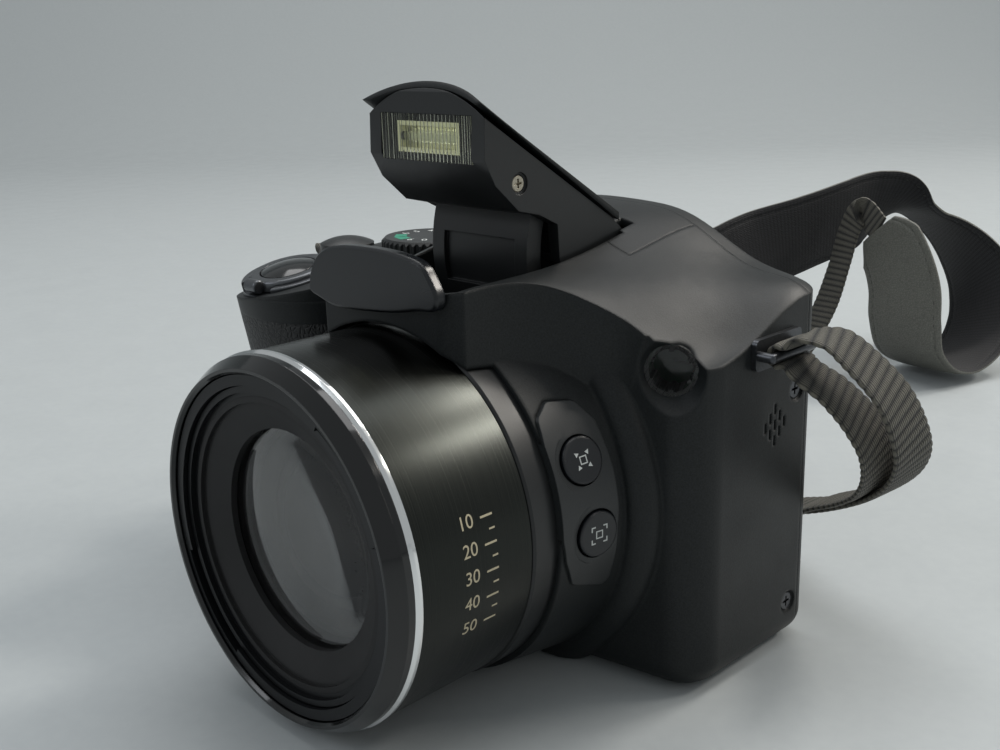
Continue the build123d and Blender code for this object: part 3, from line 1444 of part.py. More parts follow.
LEFT_OUTER_route = [
    (66.5, -14.8, 63.6), (71.0, -12.8, 62.9), (75.4, -10.2, 58.6), (78.8, -7.2, 53.2),
    (80.3, -4.0, 47.0), (79.8, -0.5, 40.8), (76.4, 3.6, 34.8), (70.4, 7.6, 29.2), (62.4, 11.0, 24.2),
    (53.6, 13.8, 20.0),
]
LEFT_INNER_route = [
    (66.6, -14.4, 57.0), (70.4, -12.0, 53.6), (73.6, -9.0, 48.8), (75.2, -5.4, 43.2),
    (74.2, -1.4, 37.2), (70.6, 3.0, 31.6), (64.6, 7.2, 26.8), (56.8, 10.8, 22.4), (50.6, 13.4, 18.4),
]
LEFT_ADJUSTER_route = [(36.6, 18.9, 12.1), (-0.88, 0.27, -0.39), (0.0, 1.0, 0.0)]
RIGHT_OUTER_route = [
    (-66.8, -14.2, 64.8), (-71.2, -8.4, 61.4), (-74.0, -0.6, 54.2), (-74.6, 6.4, 47.6),
    (-73.4, 14.6, 41.6), (-71.6, 23.6, 36.8), (-70.2, 33.0, 33.4),
]
RIGHT_INNER_route = [
    (-66.6, -14.4, 57.0), (-69.0, -9.8, 53.2), (-70.8, -3.4, 48.4), (-71.4, 3.6, 43.6),
    (-70.8, 12.0, 38.8), (-70.2, 21.0, 34.8), (-70.0, 31.0, 31.6),
]
RIGHT_ADJUSTER_route = [(-69.8, 40.0, 30.0), (0.04, 0.97, -0.16), (0.9, 0.0, 0.3)]
TAIL_LEFT_route = [
    (20.5, 30.5, 4.8, 0.65, 0.75, 0.0), (14.0, 43.0, 2.4, 0.8, 0.6, 0.0),
    (3.0, 62.0, 1.3, 0.9, 0.4, 0.0), (-12.0, 88.0, 1.3, 0.9, 0.4, 0.0),
    (-25.0, 112.0, 1.3, 0.95, 0.3, 0.0), (-32.0, 134.0, 2.8, 1.0, 0.2, 0.0),
    (-33.5, 150.0, 10.0, 1.0, 0.1, 0.1), (-32.0, 162.0, 22.0, 1.0, -0.1, 0.2),
    (-30.5, 168.0, 36.0, 0.95, -0.25, 0.25), (-28.8, 170.6, 48.0, 0.93, -0.28, 0.25),
    (-24.6, 170.6, 54.6, 0.93, -0.28, 0.25),
]
TAIL_RIGHT_route = [
    (-69.0, 62.0, 27.6, 0.8, 0.0, 0.5), (-68.0, 78.0, 27.2, 0.6, -0.2, 0.7),
    (-66.0, 92.0, 27.6, 0.2, -0.5, 0.8), (-62.6, 105.0, 28.4, -0.1, -0.6, 0.76),
]
PAD_route = [
    (-56.2, 116.4, 29.4, -3.7, -8.6, 11.1), (-60.2, 126.4, 33.4, -3.7, -8.8, 11.0),
    (-54.0, 139.2, 38.9, -2.9, -9.6, 10.4), (-49.2, 151.5, 42.2, -2.8, -9.8, 10.4),
    (-42.9, 165.3, 45.8, -1.2, -10.4, 10.1), (-36.6, 181.0, 49.8, 0.1, -10.4, 10.2),
    (-33.2, 195.2, 52.3, 2.1, -11.1, 9.1), (-30.2, 205.9, 52.1, 4.0, -11.9, 7.2),
    (-26.3, 212.1, 50.0, 6.5, -11.9, 5.4), (-20.9, 217.2, 45.0, 8.9, -10.0, 5.4),
    (-13.2, 219.3, 37.6, 10.9, -7.4, 6.2), (-4.6, 217.7, 28.0, 12.5, -4.2, 5.8),
    (0.6, 213.0, 18.6, 13.3, -3.0, 4.6), (2.2, 205.8, 10.2, 13.6, -3.4, 3.2),
    (1.5, 197.2, 4.8, 13.6, -4.0, 2.0), (-0.6, 187.0, 2.6, 13.7, -4.4, 0.9),
    (-3.0, 177.4, 4.4, 13.6, -4.6, 1.2), (-5.2, 170.4, 10.6, 13.6, -4.4, 2.2),
    (-6.2, 168.0, 20.6, 13.8, -3.4, 2.9), (-7.0, 167.9, 31.0, 13.9, -3.3, 2.7),
    (-10.8, 168.1, 41.0, 13.7, -3.9, 2.9), (-17.2, 168.8, 49.4, 13.5, -4.1, 3.6),
]


def unit(vector):
    """The vector at a length of one."""
    return vector * (1.0 / vector.length)


def band(places, hints, width, thick, first=None, last=None):
    """A flat band through places, its width turned as the hints say."""
    sections = []
    count = len(places)
    for k, place in enumerate(places):
        before = places[max(k - 1, 0)]
        after = places[min(k + 1, count - 1)]
        aim = unit(after - before)
        if k == 0 and first:
            aim = unit(first)
        if k == count - 1 and last:
            aim = unit(last)
        wide = unit(hints[k] - aim * hints[k].dot(aim))
        plane = Plane(origin=place, x_dir=wide, z_dir=aim)
        sections.append(plane * Rectangle(width, thick))
    return loft(sections, ruled=True)


def vectors(points):
    """Places as vectors."""
    return [Vector(*p[:3]) for p in points]


def adjuster_plane(route):
    """The frame of a strap adjuster: X along the strap, away from the lug."""
    origin, aim, wide = vectors(route)
    aim = unit(aim)
    across_strap = unit(wide - aim * aim.dot(wide))
    normal = aim.cross(across_strap)
    if normal.Z < 0:
        normal = normal * -1
    return Plane(origin=origin, x_dir=aim, z_dir=normal)


def strap_web(side, adjuster, outer, inner, tail, pad_end):
    """The webbing from the pad through an adjuster, round a lug and back."""
    frame = adjuster_plane(adjuster)
    rise = frame.z_dir * (WEB_THICK / 2 + RUN_GAP)
    lead = frame.x_dir * (ADJUSTER_LENGTH / 2)
    end_place, end_hint, end_aim = pad_end
    reach = LUG_WIRE_R + BUTTON_GAP + WEB_THICK / 2
    wire = Vector(side * (HALF + LUG_REACH - LUG_WIRE_R), -LUG_Y, LUG_Z)
    round_wire = []
    for angle in WIRE_TURN_degrees:
        turn = math.radians(angle)
        round_wire.append(wire + Vector(side * reach * math.cos(turn), 0, reach * math.sin(turn)))
    middle = frame.origin
    run_in = [middle + lead * 1.6 + rise, middle + lead * 1.15 + rise]
    places = [end_place] + vectors(tail)[::-1] + run_in
    hints = [end_hint] + [Vector(*p[3:]) for p in tail[::-1]]
    places += [middle - lead * 1.15 + rise] + vectors(outer)[::-1] + round_wire + vectors(inner)
    places += [middle - lead * 1.15 - rise, middle + lead - rise]
    wide = unit(vectors(adjuster)[2])
    lug_wide = Vector(0, 1, 0)
    outer_count = 3 + len(outer)
    for k in range(outer_count):
        share = max(0.0, (k - 2) / len(outer))
        hints.append(wide * (1 - share) + lug_wide * share)
    hints += [lug_wide] * len(round_wire)
    for k in range(len(inner) + 2):
        share = max(0.0, 1 - k / len(inner))
        hints.append(wide * (1 - share) + lug_wide * share)
    return band(places, hints, WEB_WIDTH, WEB_THICK, end_aim, frame.x_dir)


def strap_adjuster(route):
    """The slider that holds the two layers of the webbing together."""
    frame = adjuster_plane(route)
    block = Box(ADJUSTER_LENGTH, ADJUSTER_WIDTH, ADJUSTER_THICK)
    block = fillet(block.edges().filter_by(Axis.Z), ADJUSTER_THICK / 4)
    room = 2 * WEB_THICK + 2 * RUN_GAP + 2 * BUTTON_GAP
    passage = Box(ADJUSTER_LENGTH * 2, WEB_WIDTH + 2 * BUTTON_GAP, room)
    return frame * (block - passage)


def neck_pad():
    """The wide padded band that goes round the neck."""
    places = [Vector(*p[:3]) for p in PAD_route]
    hints = [Vector(*p[3:]) for p in PAD_route]
    return band(places, hints, PAD_BAND_WIDTH, PAD_BAND_THICK)


def pad_ends():
    """Middle, width and outward aim of the two ends of the neck pad."""
    places = [Vector(*p[:3]) for p in PAD_route]
    hints = [Vector(*p[3:]) for p in PAD_route]
    first = (places[0], hints[0], unit(places[0] - places[1]))
    last = (places[-1], hints[-1], unit(places[-1] - places[-2]))
    return first, last


# Housing pieces


def housing_cuts():
    """Everything that is cut through the walls of the housing."""
    bore = SLEEVE_R - SLEEVE_WALL
    cuts = [tube(bore, 0, BODY_WIDTH, BODY_DEPTH - WALL * 2)]
    cuts.append(tube(REAR_RING_R + RUN_GAP * 2, 0, BODY_WIDTH, COLLAR_FRONT))
    cuts.append((tube(HALF, 0, BODY_WIDTH, 0) - collar(PANEL_PROUD - PANEL_SINK)) & panel_outline(0))
    for frame in assist_frames():
        cuts.append(frame * Cylinder(ASSIST_BUTTON_R + BUTTON_GAP, HALF / 6))
    cup = Cylinder(LAMP_R, LAMP_DEPTH, align=(Align.CENTER, Align.CENTER, Align.MAX))
    mouth = Cone(LAMP_R, LAMP_R * 1.8, LAMP_R, align=(Align.CENTER, Align.CENTER, Align.MIN))
    cuts.append(lamp_frame() * (cup + mouth))
    cuts.extend(back_openings())
    cuts.extend(speaker_slots())
    frames = side_screw_frames() + base_screw_frames()
    cuts.extend([frame * screw_cut(SIDE_SCREW_R) for frame in frames])
    cuts.append(extrude(door_outline(DOOR_GAP, DOOR_PIN_INSET * 0.7), WALL * 2))
    cuts.append(door_pin(DOOR_PIN_R + DOOR_PIN_FIT, DOOR_DEPTH + 2 * DOOR_PIN_END + RUN_GAP))
    cuts.append(Pos(LENS_X, -SOCKET_Y, 0) * Cylinder(SOCKET_BODY_R, WALL * 4))
    cuts.append(deck_hole(DIAL_X, DIAL_Y, DIAL_R + BUTTON_GAP))
    cuts.append(deck_hole(POWER_X, POWER_Y, DECK_BUTTON_R + BUTTON_GAP))
    cuts.append(shutter_frame() * Cylinder(RIM_R, HALF / 3))
    cuts.append(flap(BUTTON_GAP, WALL * 2))
    cuts.extend([strap_lug(-1), strap_lug(1)])
    hump = box(-POCKET_LEFT, POCKET_RIGHT, -BODY_DEPTH, 0, 0, BODY_WIDTH)
    cuts.append(hinge_bore(HINGE_PIN_R) & hump)
    return cuts


def top_region():
    """The part of the housing that the top cover takes."""
    deck_right = -POCKET_LEFT - POCKET_WALL
    deck = box(-HALF - WALL, deck_right, -BODY_WIDTH, -SEAM_DEPTH, TOP_SEAM_Z, BODY_WIDTH)
    hump = box(deck_right, HUMP_SEAM_X, -HUMP_SEAM_Y, -SEAM_DEPTH, HUMP_SEAM_Z, BODY_WIDTH)
    return deck + hump


def grip_skin_region():
    """Where the textured skin covers the grip."""
    return box(
        -HALF - WALL,
        -GRIP_INNER_X,
        -BODY_WIDTH,
        -GRIP_SKIN_BACK,
        GRIP_SKIN_BOTTOM,
        GRIP_SKIN_TOP,
    )


def housing():
    """The hollow housing and the skin on its grip, before it is parted."""
    form = body_form()
    hollow = body_hollow()
    shelf, well = pocket_space()
    shell = form - hollow - shelf - well
    shell = shell + pocket_tub(form)
    for cheek in hinge_cheeks(form):
        shell = shell + cheek
    shell = shell + (lamp_boss() & form)
    shell = shell - arm_slots() - housing_cuts()
    skin = (form & grip_skin_region()) - (slab(GRIP_SKIN) + grip(GRIP_SKIN))
    shell = shell - skin
    return shell, skin, hollow


def biggest(shape):
    """The largest solid of a shape."""
    return max(shape.solids(), key=lambda s: s.volume)


def export(name, shape):
    """Write one piece, moved so that the tripod socket is the origin."""
    export_step(shape.moved(Location((-LENS_X, SOCKET_Y, 0))), "parts/" + name + ".step")


def main():
    """Build and write every piece."""
    os.makedirs("parts", exist_ok=True)
    shell, skin, hollow = housing()
    rear = box(-HALF - WALL, HALF + WALL, -SEAM_DEPTH, WALL, 0, BODY_WIDTH)
    top = top_region()
    upper, lower = assist_frames()
    first, last = pad_ends()
    pieces = {
        "front_cover": shell - rear - top,
        "rear_cover": shell & rear,
        "top_cover": shell & top,
        "grip_skin": biggest(skin),
        "nose_plate": nose_plate(),
        "lens_sleeve": lens_sleeve(),
        "rear_ring": rear_ring(),
        "chrome_ring": chrome_ring(),
        "bezel_ring": bezel_ring(),
        "zoom_barrel_outer": zoom_barrel_outer(),
        "zoom_barrel_inner": zoom_barrel_inner(),
        "name_ring": name_ring(),
        "front_glass": front_glass(),
        "lens_cell": lens_cell(),
        "rear_cell": rear_cell(),
        "lens_frame": lens_frame(hollow),
        "sensor_board": sensor_board() + image_sensor(),
        "assist_panel": assist_panel(),
        "assist_button_upper": assist_button(upper),
        "assist_button_lower": assist_button(lower),
        "lamp_window": lamp_window(),
        "flash_housing": flash_housing(),
        "flash_cover": flash_cover(),
        "flash_window": flash_window(),
        "flash_reflector": flash_reflector(),
        "flash_tube": flash_tube(),
        "flash_screws": flash_screws(),
        "flash_hinge_pin": flash_hinge_pin(),
        "mode_dial": mode_dial(),
        "power_button": power_button(),
        "shutter_base": shutter_base(),
        "zoom_lever": zoom_lever(),
        "shutter_button": shutter_button(),
        "lcd_window": lcd_window(),
        "lcd_panel": lcd_panel(),
        "direction_pad": direction_pad(),
        "pad_carrier": pad_carrier(),
        "set_button": set_button(),
        "thumb_rest": thumb_rest(),
        "terminal_cover": flap(0, FLAP_THICK),
        "cable_sockets": cable_sockets(),
        "chassis": chassis(hollow),
        "main_board": main_board(),
        "battery_bay": battery_bay(hollow),
        "battery": battery(),
        "memory_card": memory_card(),
        "battery_door": battery_door(),
        "door_latch": door_latch(),
        "tripod_socket": tripod_socket(),
        "case_screws": screws(side_screw_frames() + base_screw_frames()),
        "strap_lugs": Compound([strap_lug(-1), strap_lug(1)]),
        "strap_left": strap_web(
            1, LEFT_ADJUSTER_route, LEFT_OUTER_route, LEFT_INNER_route, TAIL_LEFT_route, last
        ),
        "strap_right": strap_web(
            -1, RIGHT_ADJUSTER_route, RIGHT_OUTER_route, RIGHT_INNER_route, TAIL_RIGHT_route, first
        ),
        "strap_adjusters": Compound(
            [strap_adjuster(LEFT_ADJUSTER_route), strap_adjuster(RIGHT_ADJUSTER_route)]
        ),
        "neck_pad": neck_pad(),
    }
    for name in KEY_shares:
        pieces[name] = back_key(name)
    for name, shape in pieces.items():
        export(name, shape)


if __name__ == "__main__":
    main()
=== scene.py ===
"""Looks of a bridge camera: raised flash, retracted zoom lens and a neck strap.

Everything is in metres, Z up, the lens looking along -Y, with the origin at
the mouth of the tripod socket. Sizes inside the classes are in millimetres,
laid out from the middle of the body's base at its back face, and `place`
turns them into metres about the origin.
"""

from __future__ import annotations

import logging
import math
from dataclasses import dataclass, field
from enum import Enum

import bmesh
import bpy
import numpy as np
from mathutils import Matrix, Vector

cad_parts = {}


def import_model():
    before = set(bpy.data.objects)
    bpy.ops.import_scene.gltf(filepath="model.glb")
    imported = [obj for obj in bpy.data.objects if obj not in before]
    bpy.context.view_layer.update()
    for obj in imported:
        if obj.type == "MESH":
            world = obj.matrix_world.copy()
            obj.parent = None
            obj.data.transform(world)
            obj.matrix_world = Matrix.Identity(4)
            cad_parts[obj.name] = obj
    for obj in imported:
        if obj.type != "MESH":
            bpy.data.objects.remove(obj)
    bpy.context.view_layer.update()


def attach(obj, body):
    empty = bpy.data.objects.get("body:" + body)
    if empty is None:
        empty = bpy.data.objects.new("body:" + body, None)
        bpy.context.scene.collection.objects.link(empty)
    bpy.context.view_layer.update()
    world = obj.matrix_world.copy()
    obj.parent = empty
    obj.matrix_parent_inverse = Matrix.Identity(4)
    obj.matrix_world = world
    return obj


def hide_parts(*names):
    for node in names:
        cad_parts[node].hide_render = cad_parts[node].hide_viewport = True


log = logging.getLogger("camera")

MM = 0.001
SHIFT = np.array([-12.5, 22.0, 0.0])
LENS = np.array([12.5, 0.0, 33.4])


def place(points: np.ndarray) -> np.ndarray:
    """Millimetres from the back of the body's base, as metres about the origin.

    Args:
        points: an array of x, y, z rows.

    Returns:
        The same points shifted to the tripod socket and scaled to metres.
    """
    return (np.asarray(points, float) + SHIFT) * MM


def linear(colour: str) -> tuple[float, float, float, float]:
    """An sRGB hex colour as linear red, green, blue and alpha.

    Args:
        colour: six hex digits after a hash.

    Returns:
        The colour for a shader's socket.
    """
    values = [int(colour[k : k + 2], 16) / 255 for k in (1, 3, 5)]
    flat = [v / 12.92 if v <= 0.04045 else ((v + 0.055) / 1.055) ** 2.4 for v in values]
    return flat[0], flat[1], flat[2], 1.0


def add(tree: bpy.types.NodeTree, kind: str, links: dict | None = None, **settings: object) -> bpy.types.Node:
    """Add one shader node with its settings, links and socket values.

    Args:
        tree: the material's node tree.
        kind: the node's type.
        links: input name or number to a socket, which is linked, or a value.
        settings: the node's own properties.

    Returns:
        The new node.
    """
    node = tree.nodes.new(kind)
    for name, value in settings.items():
        setattr(node, name, value)
    for name, value in (links or {}).items():
        if isinstance(value, bpy.types.NodeSocket):
            tree.links.new(value, node.inputs[name])
        else:
            node.inputs[name].default_value = value
    return node


def ramp(
    tree: bpy.types.NodeTree, factor: bpy.types.NodeSocket, stops: list[tuple[float, str]]
) -> bpy.types.NodeSocket:
    """Colours along a factor.

    Args:
        tree: the material's node tree.
        factor: the socket to read.
        stops: places and sRGB colours.

    Returns:
        The ramp's colour socket.
    """
    node = add(tree, "ShaderNodeValToRGB", {"Fac": factor})
    band = node.color_ramp
    while len(band.elements) < len(stops):
        band.elements.new(0.5)
    for element, (spot, colour) in zip(band.elements, stops):
        element.position = spot
        element.color = linear(colour)
    return node.outputs["Color"]


class Carried(Enum):
    """How a strap piece is held."""

    HUNG = "hung"
    LAID = "laid"


# Finishes


@dataclass(frozen=True)
class Finish:
    """A surface with one colour, one gloss and an optional grain.

    The grain is a noise in real millimetres that lifts the surface and
    darkens or lightens it a little, as an eroded mould or a paint does.
    """

    name: str
    colour: str
    roughness: float
    second: str = ""
    metallic: float = 0.0
    grain: float = 0.0
    lift: float = 0.0
    speckle: float = 0.5
    edge: float = 0.0
    coat: float = 0.0
    coat_roughness: float = 0.05
    specular: float = 0.5
    sheen: float = 0.0
    ior: float = 1.5

    def base(self, mat: bpy.types.Material) -> tuple[bpy.types.NodeTree, bpy.types.Node, bpy.types.Node]:
        """Empty the tree and give it the shader and the object's own coordinates."""
        mat.use_nodes = True
        tree = mat.node_tree
        tree.nodes.clear()
        shader = add(
            tree,
            "ShaderNodeBsdfPrincipled",
            {
                "Base Color": linear(self.colour),
                "Roughness": self.roughness,
                "Metallic": self.metallic,
                "Coat Weight": self.coat,
                "Coat Roughness": self.coat_roughness,
                "Sheen Weight": self.sheen,
                "Specular IOR Level": self.specular,
            },
        )
        if not self.metallic:
            shader.inputs["IOR"].default_value = self.ior
        add(tree, "ShaderNodeOutputMaterial", {"Surface": shader.outputs[0]})
        coords = add(tree, "ShaderNodeTexCoord")
        return tree, shader, coords

    def material(self) -> bpy.types.Material:
        """The finished material, made once and shared.

        Returns:
            The Blender material of this finish.
        """
        if self.name in bpy.data.materials:
            return bpy.data.materials[self.name]
        mat = bpy.data.materials.new(self.name)
        tree, shader, coords = self.base(mat)
        self.dress(tree, shader, coords)
        return mat

    def relief(
        self,
        tree: bpy.types.NodeTree,
        height: bpy.types.NodeSocket,
        normal: bpy.types.NodeSocket | None = None,
        strength: float = 1.0,
        share: float = 1.0,
    ) -> bpy.types.NodeSocket:
        """A bump as high as the finish's lift.

        Args:
            tree: the material's node tree.
            height: the pattern.
            normal: the normal that it is laid on.
            strength: how much of it is felt.
            share: its height as a share of the lift.

        Returns:
            The bumped normal.
        """
        links = {"Height": height, "Strength": strength, "Distance": self.lift * MM * share}
        if normal:
            links["Normal"] = normal
        return add(tree, "ShaderNodeBump", links).outputs[0]

    def dress(self, tree: bpy.types.NodeTree, shader: bpy.types.Node, coords: bpy.types.Node) -> None:
        """Add the grain's speckle, its relief and the soft edges."""
        normal = None
        if self.edge:
            normal = add(tree, "ShaderNodeBevel", {"Radius": self.edge * MM}, samples=4).outputs[0]
        broad = add(
            tree, "ShaderNodeTexNoise", {"Vector": coords.outputs["Object"], "Scale": 60.0, "Detail": 3.0}
        )
        rough = add(
            tree,
            "ShaderNodeMapRange",
            {
                "Value": broad.outputs[0],
                "From Min": 0.3,
                "From Max": 0.7,
                "To Min": max(0.02, self.roughness - 0.05),
                "To Max": self.roughness + 0.05,
            },
        )
        tree.links.new(rough.outputs[0], shader.inputs["Roughness"])
        if self.grain:
            fine = add(
                tree,
                "ShaderNodeTexNoise",
                {
                    "Vector": coords.outputs["Object"],
                    "Scale": 1.0 / (self.grain * MM),
                    "Detail": 2.0,
                    "Roughness": 0.6,
                },
            )
            if self.second:
                low, high = 0.5 - self.speckle / 2, 0.5 + self.speckle / 2
                colour = ramp(tree, fine.outputs[0], [(low, self.colour), (high, self.second)])
                tree.links.new(colour, shader.inputs["Base Color"])
            normal = self.relief(tree, fine.outputs[0], normal)
        if normal:
            tree.links.new(normal, shader.inputs["Normal"])


@dataclass(frozen=True)
class TurnedAluminium(Finish):
    """Black anodised aluminium, turned on a lathe.

    The fine grooves run round the lens axis, so a light draws out into a
    streak along the barrel. The real grooves are finer than a pixel, so they
    are drawn every 0.2 mm.
    """

    groove: float = 0.2

    def dress(self, tree: bpy.types.NodeTree, shader: bpy.types.Node, coords: bpy.types.Node) -> None:
        """Add grooves that vary along the lens axis only."""
        split = add(tree, "ShaderNodeSeparateXYZ", {0: coords.outputs["Object"]})
        line = add(tree, "ShaderNodeCombineXYZ", {"Y": split.outputs["Y"]})
        fine = add(
            tree,
            "ShaderNodeTexNoise",
            {"Vector": line.outputs[0], "Scale": 1.0 / (self.groove * MM), "Detail": 4.0, "Roughness": 0.75},
        )
        rough = add(
            tree,
            "ShaderNodeMapRange",
            {
                "Value": fine.outputs[0],
                "From Min": 0.3,
                "From Max": 0.7,
                "To Min": self.roughness - 0.07,
                "To Max": self.roughness + 0.09,
            },
        )
        tree.links.new(rough.outputs[0], shader.inputs["Roughness"])
        colour = ramp(tree, fine.outputs[0], [(0.38, self.colour), (0.62, self.second)])
        tree.links.new(colour, shader.inputs["Base Color"])
        normal = self.relief(tree, fine.outputs[0])
        tangent = add(tree, "ShaderNodeTangent", direction_type="RADIAL", axis="Y")
        tree.links.new(normal, shader.inputs["Normal"])
        tree.links.new(tangent.outputs[0], shader.inputs["Tangent"])
        shader.inputs["Anisotropic"].default_value = 0.75


@dataclass(frozen=True)
class LeatherGrain(Finish):
    """Soft rubber or leatherette pressed with a leather grain.

    The grain is a cell pattern of the size given, with painted shade in its valleys: their colour is darker.
    """

    cell: float = 1.1

    def dress(self, tree: bpy.types.NodeTree, shader: bpy.types.Node, coords: bpy.types.Node) -> None:
        """Add the pressed cells and the fine pores on them."""
        warp = add(
            tree,
            "ShaderNodeTexNoise",
            {"Vector": coords.outputs["Object"], "Scale": 0.5 / (self.cell * MM), "Detail": 2.0},
        )
        moved = add(
            tree,
            "ShaderNodeVectorMath",
            {0: warp.outputs["Color"], 1: (self.cell * MM,) * 3},
            operation="MULTIPLY",
        )
        spot = add(tree, "ShaderNodeVectorMath", {0: coords.outputs["Object"], 1: moved.outputs[0]})
        cells = add(
            tree,
            "ShaderNodeTexVoronoi",
            {"Vector": spot.outputs[0], "Scale": 1.0 / (self.cell * MM)},
            feature="DISTANCE_TO_EDGE",
        )
        crest = add(
            tree,
            "ShaderNodeMapRange",
            {"Value": cells.outputs["Distance"], "From Min": 0.0, "From Max": 0.22},
            interpolation_type="SMOOTHSTEP",
        )
        pores = add(
            tree,
            "ShaderNodeTexNoise",
            {"Vector": coords.outputs["Object"], "Scale": 1.0 / (0.22 * MM), "Detail": 1.0},
        )
        # Painted shade: the valleys between the cells take the darker colour.
        colour = ramp(tree, crest.outputs[0], [(0.0, self.second or self.colour), (1.0, self.colour)])
        tree.links.new(colour, shader.inputs["Base Color"])
        pressed = self.relief(tree, crest.outputs[0])
        normal = self.relief(tree, pores.outputs[0], pressed, strength=0.5, share=0.3)
        tree.links.new(normal, shader.inputs["Normal"])


@dataclass(frozen=True)
class WovenNylon(Finish):
    """Woven nylon webbing.

    The threads run along the strap every 0.5 mm over ribs that the mesh has.
    The piece's UV map is in millimetres, along and across the strap.
    """

    thread: float = 0.5
    rib: float = 1.95

    def dress(self, tree: bpy.types.NodeTree, shader: bpy.types.Node, coords: bpy.types.Node) -> None:
        """Add the threads, with a painted sheen on the crests of threads and ribs and painted shade, near
        black, in their valleys.
        """
        split = add(tree, "ShaderNodeSeparateXYZ", {0: coords.outputs["UV"]})
        jitter = add(
            tree, "ShaderNodeTexNoise", {"Vector": coords.outputs["UV"], "Scale": 0.9, "Detail": 2.0}
        )
        across = add(
            tree,
            "ShaderNodeMath",
            {0: jitter.outputs[0], 1: self.thread * 0.9, 2: split.outputs["Y"]},
            operation="MULTIPLY_ADD",
        )
        threads = self.wave(tree, across.outputs[0], self.thread)
        ribs = self.wave(tree, split.outputs["X"], self.rib)
        wool = add(tree, "ShaderNodeTexNoise", {"Vector": coords.outputs["UV"], "Scale": 5.0, "Detail": 3.0})
        height = add(
            tree,
            "ShaderNodeMath",
            {0: threads, 1: 0.75, 2: wool.outputs[0]},
            operation="MULTIPLY_ADD",
        )
        # Painted light: the colour is lighter on the crests of threads and ribs as painted sheen, and darker
        # in their valleys as painted shade.
        shade = add(tree, "ShaderNodeMath", {0: threads, 1: ribs}, operation="MULTIPLY")
        colour = ramp(tree, shade.outputs[0], [(0.05, self.colour), (0.85, self.second)])
        tree.links.new(colour, shader.inputs["Base Color"])
        tree.links.new(self.relief(tree, height.outputs[0]), shader.inputs["Normal"])

    @staticmethod
    def wave(tree: bpy.types.NodeTree, along: bpy.types.NodeSocket, pitch: float) -> bpy.types.NodeSocket:
        """A rounded wave from 0 to 1 of a pitch: the absolute sine of half turns."""
        turn = add(tree, "ShaderNodeMath", {0: along, 1: math.pi / pitch}, operation="MULTIPLY")
        sine = add(tree, "ShaderNodeMath", {0: turn.outputs[0]}, operation="SINE")
        return add(tree, "ShaderNodeMath", {0: sine.outputs[0]}, operation="ABSOLUTE").outputs[0]


@dataclass(frozen=True)
class ClearPlastic(Finish):
    """Clear moulded plastic or glass, tinted through its body.

    Light passes through it, so what lies behind shows bent and tinted.
    """

    film: float = 0.0
    clear: float = 1.0

    def dress(self, tree: bpy.types.NodeTree, shader: bpy.types.Node, coords: bpy.types.Node) -> None:
        """Let the light through, and add the thin reflecting film."""
        shader.inputs["Transmission Weight"].default_value = self.clear
        if self.film:
            shader.inputs["Thin Film Thickness"].default_value = self.film
            shader.inputs["Thin Film IOR"].default_value = 1.38


# ABS moulded in an eroded tool and sprayed matt: dark, with a fine light speckle.
SHELL = Finish(
    "sprayed_abs_shell", "#0b0d0e", 0.47, "#1e2223", grain=0.3, lift=0.022, edge=0.9, specular=0.3
)
# The same ABS in a finer tool, as on the flash head and the small panels.
FINE = Finish("fine_abs", "#0f1112", 0.4, "#1b1d1e", grain=0.22, lift=0.008, speckle=0.6, edge=0.25)
# The panel on the collar: finer than the shell, and painted paler for the light that it catches.
PANEL = Finish("satin_panel_abs", "#191b1c", 0.38, "#26292a", grain=0.22, lift=0.008, speckle=0.6, edge=0.25)
# ABS left with the tool's satin polish, on the plate over the lens.
SATIN = Finish("satin_abs", "#0d0f12", 0.3, "#12151a", grain=0.3, lift=0.004, speckle=0.8, edge=0.5)
# Glass-filled nylon, dull and even, for what lies in the pocket and the barrel.
DULL = Finish("dull_nylon", "#0c0c0d", 0.62, "#121213", grain=0.25, lift=0.006, edge=0.15)
# High-gloss ABS with a clear coat, for the bezel and the shutter button.
GLOSS = Finish("coated_gloss_abs", "#050607", 0.1, coat=0.2, edge=0.2)
# Black anodised turned aluminium of the lens sleeve.
SLEEVE = TurnedAluminium("anodised_turned_sleeve", "#272928", 0.22, "#30322f", metallic=0.95, lift=0.0012)
# Anodised inner barrels, dull, with the same turning marks.
BARREL = TurnedAluminium("anodised_barrel", "#0d0e0f", 0.4, "#15171a", metallic=0.3, lift=0.003)
# Bright diamond-cut ring: a mirror with a slight haze.
CHROME = Finish("diamond_cut_aluminium", "#eceded", 0.1, metallic=1.0, edge=0.1)
# Vapour-metallised ABS, dark satin, for the zoom lever and its rim.
DARK_METAL = Finish(
    "dark_satin_plated_abs", "#5a5c5f", 0.3, "#65676a", metallic=0.9, grain=0.4, lift=0.003, edge=0.2
)
# Nickel-plated steel screws and wire.
NICKEL = Finish(
    "nickel_plated_steel", "#b9b2a2", 0.26, "#a49d8f", metallic=1.0, grain=0.5, lift=0.004, edge=0.1
)
# Blackened steel of the strap lugs and of the screws in the covers.
LUG_STEEL = Finish("blackened_steel", "#54565a", 0.34, "#46484b", metallic=0.9, grain=0.4, lift=0.004)
# Silicone rubber pressed with a leather grain, for the grip, its valleys painted darker as shade.
GRIP = LeatherGrain("pressed_grip_rubber", "#18191a", 0.55, "#0c0d0d", lift=0.12, cell=1.2)
# Thermoplastic elastomer of the thumb pad and the side flap, nearly flat.
FLAP = Finish("moulded_elastomer", "#1b1c1d", 0.62, "#242526", grain=0.35, lift=0.015, edge=0.3)
# Ground glass of the front element, anti-reflection coated: clear, with a plain weak reflection.
FRONT_GLASS = ClearPlastic("coated_front_glass", "#ffffff", 0.0, ior=1.5)
